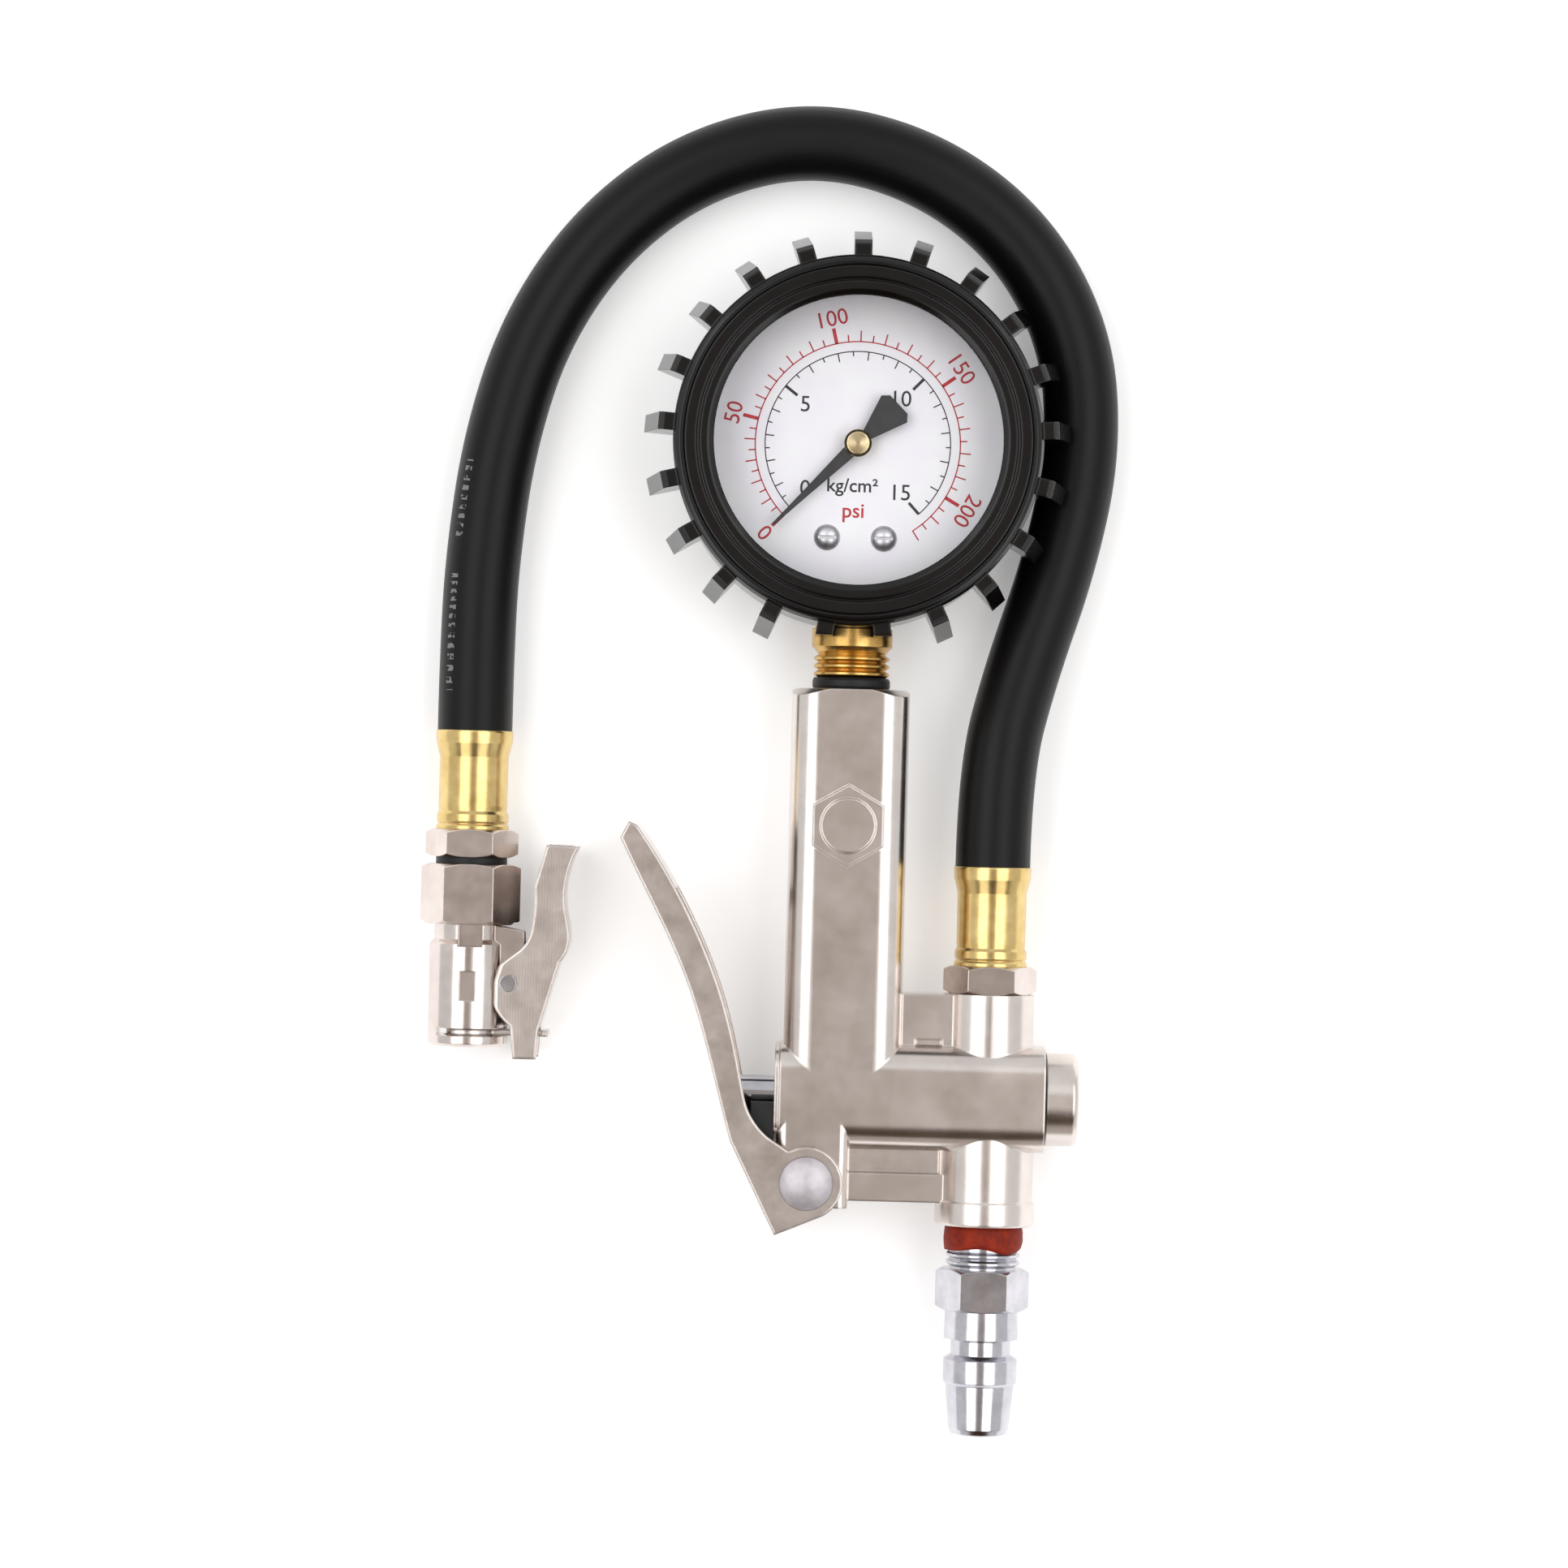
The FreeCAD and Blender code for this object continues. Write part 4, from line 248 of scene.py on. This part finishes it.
def dashes(tree, place, along):
    """Where two runs of plain, partly rubbed-off dashes are printed on the hose, close to the chuck."""
    split = add(tree, "ShaderNodeSeparateXYZ", {"Vector": along})
    length, turn = split.outputs["X"], split.outputs["Y"]
    beats = add(tree, "ShaderNodeMath", {0: length, 1: HOSE_LENGTH / DASH_MM},
                operation="MULTIPLY").outputs["Value"]
    beat = add(tree, "ShaderNodeMath", {0: beats}, operation="FRACT").outputs["Value"]
    first, second = [inside(tree, length, 1 - far / HOSE_LENGTH, 1 - near / HOSE_LENGTH)
                     for near, far in DASH_RUNS]
    printed = add(tree, "ShaderNodeMath", {0: first, 1: second}, operation="ADD").outputs["Value"]
    wear = add(tree, "ShaderNodeTexNoise", {
        "Vector": place, "Scale": 1 / (DASH_WEAR_MM * MM)}).outputs["Fac"]
    for limit in (inside(tree, turn, *DASH_BAND), inside(tree, beat, 0.0, DASH_SHARE),
                  inside(tree, wear, *DASH_LEFT)):
        printed = add(tree, "ShaderNodeMath", {0: printed, 1: limit},
                      operation="MULTIPLY").outputs["Value"]
    return printed


def hose_finish():
    """Extruded rubber with a smooth cover: satin black, with faint lines drawn out along the hose."""
    material, tree, out, place = blank("extruded_hose_rubber")
    along = add(tree, "ShaderNodeTexCoord").outputs["UV"]  # from 0 to 1 along the hose and round it
    stretched = add(tree, "ShaderNodeMapping", {
        "Vector": along, "Scale": HOSE_DRAWN_LINES}).outputs["Vector"]
    lines = add(tree, "ShaderNodeTexNoise", {
        "Vector": stretched, "Scale": 1.0, "Detail": 3.0}).outputs["Fac"]
    patches = add(tree, "ShaderNodeTexNoise", {
        "Vector": place, "Scale": 1 / (HOSE_PATCH_MM * MM), "Detail": 4.0}).outputs["Fac"]
    grain = add(tree, "ShaderNodeTexNoise", {
        "Vector": place, "Scale": 1 / (HOSE_GRAIN_MM * MM), "Detail": 2.0}).outputs["Fac"]
    rubber = add(tree, "ShaderNodeValToRGB", {"Fac": patches})
    first, last = rubber.color_ramp.elements
    first.color = linear("060505")
    last.color = linear("0D0B0B")
    colour = add(tree, "ShaderNodeMix", {
        "Factor": dashes(tree, place, along), 6: rubber.outputs["Color"], 7: linear("747472")},
        data_type="RGBA").outputs[2]
    drawn = add(tree, "ShaderNodeBump", {
        "Height": lines, "Strength": 1.0, "Distance": HOSE_LINE_DEPTH_MM * MM}).outputs["Normal"]
    normal = add(tree, "ShaderNodeBump", {
        "Height": grain, "Strength": 1.0, "Distance": HOSE_GRAIN_DEPTH_MM * MM,
        "Normal": drawn}).outputs["Normal"]
    roughness = add(tree, "ShaderNodeMapRange", {
        "Value": patches, "To Min": 0.36, "To Max": 0.46}).outputs["Result"]
    shader = add(tree, "ShaderNodeBsdfPrincipled", {
        "Base Color": colour, "Roughness": roughness, "IOR": 1.52, "Specular IOR Level": 0.2,
        "Normal": normal})
    tree.links.new(shader.outputs["BSDF"], out.inputs["Surface"])
    return material


HAZE_MM = 6.0


def lens_finish():
    """Clear acrylic sheet: it lets light straight through and mirrors a little, more at a slant.

    Only its outer faces mirror, so that a slanting look is not turned back inside the sheet.
    """
    material, tree, out, place = blank("clear_acrylic_lens")
    haze = add(tree, "ShaderNodeTexNoise", {
        "Vector": place, "Scale": 1 / (HAZE_MM * MM), "Detail": 2.0}).outputs["Fac"]
    clear = add(tree, "ShaderNodeBsdfTransparent", {"Color": (0.98, 0.98, 0.985, 1.0)}).outputs["BSDF"]
    roughness = add(tree, "ShaderNodeMapRange", {
        "Value": haze, "To Min": 0.02, "To Max": 0.05}).outputs["Result"]
    mirror = add(tree, "ShaderNodeBsdfGlossy", {
        "Color": (1.0, 1.0, 1.0, 1.0), "Roughness": roughness}).outputs["BSDF"]
    mirrored = add(tree, "ShaderNodeFresnel", {"IOR": 1.49}).outputs["Fac"]
    leaving = add(tree, "ShaderNodeNewGeometry").outputs["Backfacing"]
    share = add(tree, "ShaderNodeMath", {0: mirrored, 1: leaving}, operation="SUBTRACT",
                use_clamp=True).outputs["Value"]
    mixed = add(tree, "ShaderNodeMixShader", {0: share, 1: clear, 2: mirror}).outputs["Shader"]
    tree.links.new(mixed, out.inputs["Surface"])
    return material


HOSE_RUBBER = hose_finish()
LENS = lens_finish()

FINISHES = {
    NICKEL: ["valve_body", "end_cap"],
    BRIGHT_NICKEL: ["chuck_body", "hose_fitting_body_end", "hose_fitting_chuck_end", "hose_end_body",
                    "hose_end_chuck", "valve_seat", "guide_bush"],
    DIAL_SCREW: ["dial_screws"],
    PRESSED_NICKEL: ["lever", "chuck_lever", "chuck_jaw"],
    ZINC: ["inlet_plug", "spindle", "poppet", "core_depressor", "chuck_pivot_pin", "case_screws"],
    RIVET: ["lever_rivet"],
    FERRULE_BRASS: ["ferrule_body_end", "ferrule_chuck_end"],
    TURNED_BRASS: ["gauge_socket"],
    HUB_BRASS: ["pointer_hub"],
    CLOCK_BRASS: ["movement_back_plate", "movement_front_plate", "movement_pillars", "movement_screws",
                  "pinion", "sector_gear", "gauge_link", "tube_tip"],
    BRONZE: ["bourdon_tube", "hairspring"],
    SPRING: ["valve_spring", "chuck_lever_spring"],
    ENAMEL: ["gauge_case", "gauge_bezel"],
    BOOT_RUBBER: ["gauge_boot"],
    SEAL_RUBBER: ["rod_seal", "end_cap_seal", "poppet_seal", "lever_buffer", "gauge_stem_seal",
                  "lens_gasket", "chuck_washer", "chuck_seal"],
    POINTER_PAINT: ["pointer"],
    DIAL_PAINT: ["dial_plate"],
    LENS: ["gauge_lens"],
    HOSE_RUBBER: ["hose"],
    SEALANT: ["inlet_seal"],
}


def paint(piece, material):
    """One material over a whole piece."""
    piece.data.materials.clear()
    piece.data.materials.append(material)


for material, names in FINISHES.items():
    for name in names:
        paint(nodes[name], material)


# ---- hose --------------------------------------------------------------------------------------
HOSE_LIES = HOSE_D / 2     # its middle line's height where it rests on the board
CHUCK_X = -66.3
CHUCK_Z = 7.6
HOSE_LINE = [
    (PORT_X, -5.45, GUN_Z), (PORT_X, 11.55, GUN_Z), (28.6, 28.55, 8.2), (35.0, 48.05, HOSE_LIES),
    (38.6, 67.55, HOSE_LIES), (36.8, 87.05, HOSE_LIES), (26.8, 104.55, HOSE_LIES),
    (10.0, 116.55, HOSE_LIES), (-10.0, 121.15, HOSE_LIES), (-30.0, 115.95, HOSE_LIES),
    (-46.2, 103.55, HOSE_LIES), (-57.6, 86.15, HOSE_LIES), (-63.4, 66.35, HOSE_LIES),
    (-65.8, 46.55, HOSE_LIES), (CHUCK_X, 30.75, CHUCK_Z), (CHUCK_X, 15.9, CHUCK_Z),
]


def hose():
    """The rubber hose, a smooth line through its route from the gun's port to the chuck."""
    curve = bpy.data.curves.new("rubber_hose", "CURVE")
    curve.dimensions = "3D"
    curve.bevel_depth = HOSE_D / 2 * MM
    curve.bevel_resolution = 8
    curve.resolution_u = 16
    curve.use_fill_caps = True
    spline = curve.splines.new("NURBS")
    spline.points.add(len(HOSE_LINE) - 1)
    for point, place in zip(spline.points, HOSE_LINE):
        point.co = (*(Vector(place) * MM), 1.0)
    spline.order_u = 3
    spline.use_endpoint_u = True
    piece = bpy.data.objects.new("rubber_hose", curve)
    bpy.context.scene.collection.objects.link(piece)
    curve.materials.append(HOSE_RUBBER)
    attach(piece, "housing")
    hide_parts("hose")


hose()


# ---- meshes ------------------------------------------------------------------------------------
def piece_from(bm, name, material, body, smooth=True):
    """A bmesh in millimetres made a piece that rides on a body."""
    bmesh.ops.scale(bm, vec=(MM, MM, MM), verts=bm.verts)
    mesh = bpy.data.meshes.new(name)
    bm.to_mesh(mesh)
    bm.free()
    for face in mesh.polygons:
        face.use_smooth = smooth
    piece = bpy.data.objects.new(name, mesh)
    bpy.context.scene.collection.objects.link(piece)
    mesh.materials.append(material)
    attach(piece, body)
    return piece


# ---- dial print --------------------------------------------------------------------------------
INK_T = 0.03
ARC_STEP = 1.5             # degrees between the points of a printed arc
PSI_IN_UNIT = 14.223       # pounds per square inch in one kilogram-force per square centimetre
SCALE_PLACES = [(0.0, 225.0), (5.0, 142.5), (10.0, 46.0), (15.0, -47.5)]  # pressure and direction
FULL_PSI = 220
PSI_NUMBERS = (0, 50, 100, 150, 200)
PSI_NUMBER_MOVES = {150: 2.0}             # degrees aside, clear of its mark
PSI_MARKS = {50: (2.7, 0.6), 10: (1.9, 0.22), 5: (1.2, 0.22)}      # step: length and width
METRIC_MARKS = {10: (-2.6, 0.5), 2: (-1.5, 0.2), 1: (-0.8, 0.2)}   # the same, in half units, inwards
METRIC_NUMBERS = [("0", -8.9, -7.9), ("5", -9.2, 6.6), ("10", 7.2, 7.9), ("15", 7.5, -8.3)]  # from the centre
RED_R = 17.7
RED_ARC_W = 0.2
RED_NUMBER_R = 22.0
BLACK_R = 16.0
BLACK_ARC_W = 0.18
NUMBER_SIZE = 3.9
PSI_LABEL = ("psi", 3.6, 11.6, 267.5)     # characters, size, radius and direction
METRIC_LABEL = ("kg/cm²", 3.3, 7.3, 264.0)
LABEL_BOLD = 0.03


def direction(pressure):
    """Where the dial shows a pressure, in degrees: each third of the scale is even in itself."""
    for (low, start), (high, end) in zip(SCALE_PLACES, SCALE_PLACES[1:]):
        if pressure <= high or high == SCALE_PLACES[-1][0]:
            return start + (end - start) * (pressure - low) / (high - low)


def dial_matrix(radius, angle, turn):
    """A place on the dial at a radius and direction, turned."""
    around = math.radians(angle)
    at = Vector((HANDLE_X + radius * math.cos(around), DIAL_Y + radius * math.sin(around),
                 DIAL_FACE_Z + INK_T))
    return Matrix.Translation(at) @ Matrix.Rotation(math.radians(turn), 4, "Z")


def mark(bm, radius, angle, length, width):
    """A short printed line from a radius outwards, or inwards if its length is negative."""
    shape = Matrix.Diagonal((abs(length), width, INK_T, 1.0))
    bmesh.ops.create_cube(bm, size=1.0, matrix=dial_matrix(radius + length / 2, angle, angle) @ shape)


def marks(bm, sizes, count, step, radius, pressure_of):
    """All the marks of a scale: each takes the size of the largest step that it falls on."""
    for value in range(0, count + 1, step):
        size = next(size for wide, size in sizes.items() if value % wide == 0)
        mark(bm, radius, direction(pressure_of(value)), *size)


def arc(bm, radius, width, start, end):
    """A printed arc, spun from one small cross-section."""
    first = dial_matrix(radius, start, start)
    corners = [(-width / 2, -INK_T / 2), (width / 2, -INK_T / 2), (width / 2, INK_T / 2),
               (-width / 2, INK_T / 2)]
    points = [bm.verts.new(first @ Vector((x, 0.0, z))) for x, z in corners]
    face = bm.faces.new(points)
    steps = int(abs(start - end) / ARC_STEP)
    centre = Vector((HANDLE_X, DIAL_Y, 0.0))
    bmesh.ops.spin(bm, geom=[face] + face.edges[:] + points, cent=centre, axis=(0, 0, 1),
                   angle=math.radians(end - start), steps=steps, use_duplicate=False)
    bmesh.ops.recalc_face_normals(bm, faces=bm.faces[:])


def lettering(bm, text, size, radius, angle, turn, bold=0.0):
    """Printed characters, centred on their place, as thin solid shapes."""
    curve = bpy.data.curves.new("print", "FONT")
    curve.body = text
    curve.size = size
    curve.offset = bold
    curve.align_x = "CENTER"
    curve.align_y = "CENTER"
    curve.extrude = INK_T / 2
    curve.resolution_u = 4
    holder = bpy.data.objects.new("print", curve)
    mesh = bpy.data.meshes.new_from_object(holder)
    mesh.transform(dial_matrix(radius, angle, turn))
    bm.from_mesh(mesh)
    bpy.data.objects.remove(holder)
    bpy.data.curves.remove(curve)
    bpy.data.meshes.remove(mesh)


def red_print():
    """The outer scale, in pounds per square inch."""
    bm = bmesh.new()
    arc(bm, RED_R, RED_ARC_W, direction(0.0), direction(FULL_PSI / PSI_IN_UNIT))
    marks(bm, PSI_MARKS, FULL_PSI, 5, RED_R, lambda psi: psi / PSI_IN_UNIT)
    for psi in PSI_NUMBERS:
        angle = direction(psi / PSI_IN_UNIT)
        lettering(bm, str(psi), NUMBER_SIZE, RED_NUMBER_R, angle + PSI_NUMBER_MOVES.get(psi, 0.0),
                  angle - 90.0)
    lettering(bm, *PSI_LABEL, 0.0, bold=LABEL_BOLD)
    piece_from(bm, "dial_print_red", RED_INK, "housing", smooth=False)


def black_print():
    """The inner scale, in kilograms-force per square centimetre."""
    bm = bmesh.new()
    full = SCALE_PLACES[-1][0]
    arc(bm, BLACK_R, BLACK_ARC_W, direction(0.0), direction(full))
    marks(bm, METRIC_MARKS, int(2 * full), 1, BLACK_R, lambda half: half / 2)
    for text, x, y in METRIC_NUMBERS:
        lettering(bm, text, NUMBER_SIZE, math.hypot(x, y), math.degrees(math.atan2(y, x)), 0.0)
    lettering(bm, *METRIC_LABEL, 0.0, bold=LABEL_BOLD)
    piece_from(bm, "dial_print_black", BLACK_INK, "housing", smooth=False)


red_print()
black_print()


# ---- thread sealant ----------------------------------------------------------------------------
SEALANT_SEED = 5
SEALANT_TOP = -67.45       # Y where it meets the inlet port
SEALANT_R = 6.6
SEALANT_DEPTH = 4.2
SEALANT_WALL = 0.5
SEALANT_SWELL = 0.28       # how far it bulges halfway down
SEALANT_LUMP = 0.04
SEALANT_WAVES = (1, 2, 3, 5)              # waves round its lower edge
SEALANT_WAVE_SIZES = (0.15, 0.4)
SEALANT_SIDES = 72
SEALANT_ROWS = 6


def sealant():
    """The ring of sealant squeezed out round the inlet plug's thread, with an uneven lower edge."""
    chance = random.Random(SEALANT_SEED)
    bm = bmesh.new()
    bmesh.ops.create_circle(bm, segments=SEALANT_SIDES, radius=SEALANT_R)
    bmesh.ops.rotate(bm, verts=bm.verts, cent=(0, 0, 0),
                     matrix=Matrix.Rotation(math.radians(90), 3, "X"))
    bmesh.ops.translate(bm, verts=bm.verts, vec=(PORT_X, SEALANT_TOP, GUN_Z))
    waves = [(chance.uniform(*SEALANT_WAVE_SIZES), count, chance.uniform(0, math.tau))
             for count in SEALANT_WAVES]
    edge = bm.edges[:]
    for row in range(1, SEALANT_ROWS + 1):
        grown = bmesh.ops.extrude_edge_only(bm, edges=edge)["geom"]
        edge = [g for g in grown if isinstance(g, bmesh.types.BMEdge)]
        for vert in [g for g in grown if isinstance(g, bmesh.types.BMVert)]:
            turn = math.atan2(vert.co.z - GUN_Z, vert.co.x - PORT_X)
            uneven = sum(size * math.sin(count * turn + start) for size, count, start in waves)
            depth = (SEALANT_DEPTH + uneven) * row / SEALANT_ROWS
            bulge = SEALANT_SWELL * math.sin(math.pi * row / (SEALANT_ROWS + 0.5))
            radius = SEALANT_R + bulge + chance.uniform(-SEALANT_LUMP, SEALANT_LUMP)
            vert.co = Vector((PORT_X + radius * math.cos(turn), SEALANT_TOP - depth,
                              GUN_Z + radius * math.sin(turn)))
    bmesh.ops.recalc_face_normals(bm, faces=bm.faces[:])
    piece = piece_from(bm, "thread_sealant", SEALANT, "housing")
    wall = piece.modifiers.new("wall", "SOLIDIFY")
    wall.thickness = SEALANT_WALL * MM
    wall.offset = -1.0
    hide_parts("inlet_seal")


sealant()


# ---- floor and light ---------------------------------------------------------------------------
BOARD_HALF = 3.0           # metres
BOARD_DROP = 0.0002        # metres below the lowest piece
BOARD_PATCHES = 6.0        # to a metre
# Painted light: the board glows by itself, with no lamp, so that the shadows cast on it stay faint.
BOARD_PAINTED_GLOW = 0.3


def floor():
    """A white board that glows a little by itself, a painted fill light, so that shadows stay faint."""
    material, tree, out, place = blank("matt_white_board_painted_glow")
    patches = add(tree, "ShaderNodeTexNoise", {
        "Vector": place, "Scale": BOARD_PATCHES, "Detail": 3.0}).outputs["Fac"]
    colour = add(tree, "ShaderNodeValToRGB", {"Fac": patches})
    first, last = colour.color_ramp.elements
    first.color = linear("F4F4F4")
    last.color = linear("F9F9F9")
    # The emission is painted fill light that lightens the shadows on the board.
    shader = add(tree, "ShaderNodeBsdfPrincipled", {
        "Base Color": colour.outputs["Color"], "Roughness": 0.8,
        "Emission Color": colour.outputs["Color"], "Emission Strength": BOARD_PAINTED_GLOW})
    tree.links.new(shader.outputs["BSDF"], out.inputs["Surface"])
    bm = bmesh.new()
    bmesh.ops.create_grid(bm, x_segments=1, y_segments=1, size=BOARD_HALF)
    bmesh.ops.translate(bm, verts=bm.verts, vec=(0, 0, -BOARD_DROP))
    mesh = bpy.data.meshes.new("floor")
    bm.to_mesh(mesh)
    bm.free()
    mesh.materials.append(material)
    board = bpy.data.objects.new("floor", mesh)
    bpy.context.scene.collection.objects.link(board)


floor()

SOFTBOX_W = 0.62           # metres
SOFTBOX_L = 1.5
SOFTBOX_X = 0.52
SOFTBOX_Y = 0.05
SOFTBOX_Z = 0.95
SOFTBOX_POWER = 5.0        # watts


def softbox(name, x):
    """A long soft light over one side of the gun, clear of the view straight down."""
    lamp = bpy.data.lights.new(name, "AREA")
    lamp.shape = "RECTANGLE"
    lamp.size = SOFTBOX_W
    lamp.size_y = SOFTBOX_L
    lamp.energy = SOFTBOX_POWER
    holder = bpy.data.objects.new(name, lamp)
    holder.location = (x, SOFTBOX_Y, SOFTBOX_Z)
    holder.rotation_euler = (0.0, math.atan2(x, SOFTBOX_Z), 0.0)
    bpy.context.scene.collection.objects.link(holder)


softbox("softbox_left", -SOFTBOX_X)
softbox("softbox_right", SOFTBOX_X)

SKY_STRENGTH = 0.8
# Where the tent's gaps begin and end, as parts of a direction one long.
RIDGE_SIDE = (0.12, 0.2)   # in X, either way
RIDGE_FAR_END = (0.22, 0.4)
NEAR_GAP = (-0.25, -0.5)   # in Y
NEAR_GAP_HEIGHT = (0.35, 0.55)


def sky():
    """A white tent with a grey-beige gap along its ridge and a brown one high up at its near end."""
    world = bpy.data.worlds.new("tent")
    bpy.context.scene.world = world
    world.use_nodes = True
    tree = world.node_tree
    tree.nodes.clear()
    out = add(tree, "ShaderNodeOutputWorld")
    place = add(tree, "ShaderNodeTexCoord").outputs["Generated"]
    split = add(tree, "ShaderNodeSeparateXYZ", {"Vector": place})
    aside = add(tree, "ShaderNodeMath", {0: split.outputs["X"]}, operation="ABSOLUTE").outputs["Value"]
    beside, beyond, near, high = [
        add(tree, "ShaderNodeMapRange", {"Value": value, "From Min": start, "From Max": end},
            interpolation_type="SMOOTHSTEP").outputs["Result"]
        for value, (start, end) in (
            (aside, RIDGE_SIDE), (split.outputs["Y"], RIDGE_FAR_END),
            (split.outputs["Y"], NEAR_GAP), (split.outputs["Z"], NEAR_GAP_HEIGHT))]
    white = add(tree, "ShaderNodeMath", {0: beside, 1: beyond}, operation="MAXIMUM").outputs["Value"]
    brown = add(tree, "ShaderNodeMath", {0: near, 1: high}, operation="MULTIPLY").outputs["Value"]
    ridge = add(tree, "ShaderNodeMix", {"Factor": white, 6: linear("C2B8B0"), 7: linear("FFFFFF")},
                data_type="RGBA").outputs[2]
    tent = add(tree, "ShaderNodeMix", {"Factor": brown, 6: ridge, 7: linear("4A3620")},
               data_type="RGBA").outputs[2]
    back = add(tree, "ShaderNodeBackground", {"Color": tent, "Strength": SKY_STRENGTH})
    tree.links.new(back.outputs["Background"], out.inputs["Surface"])


sky()
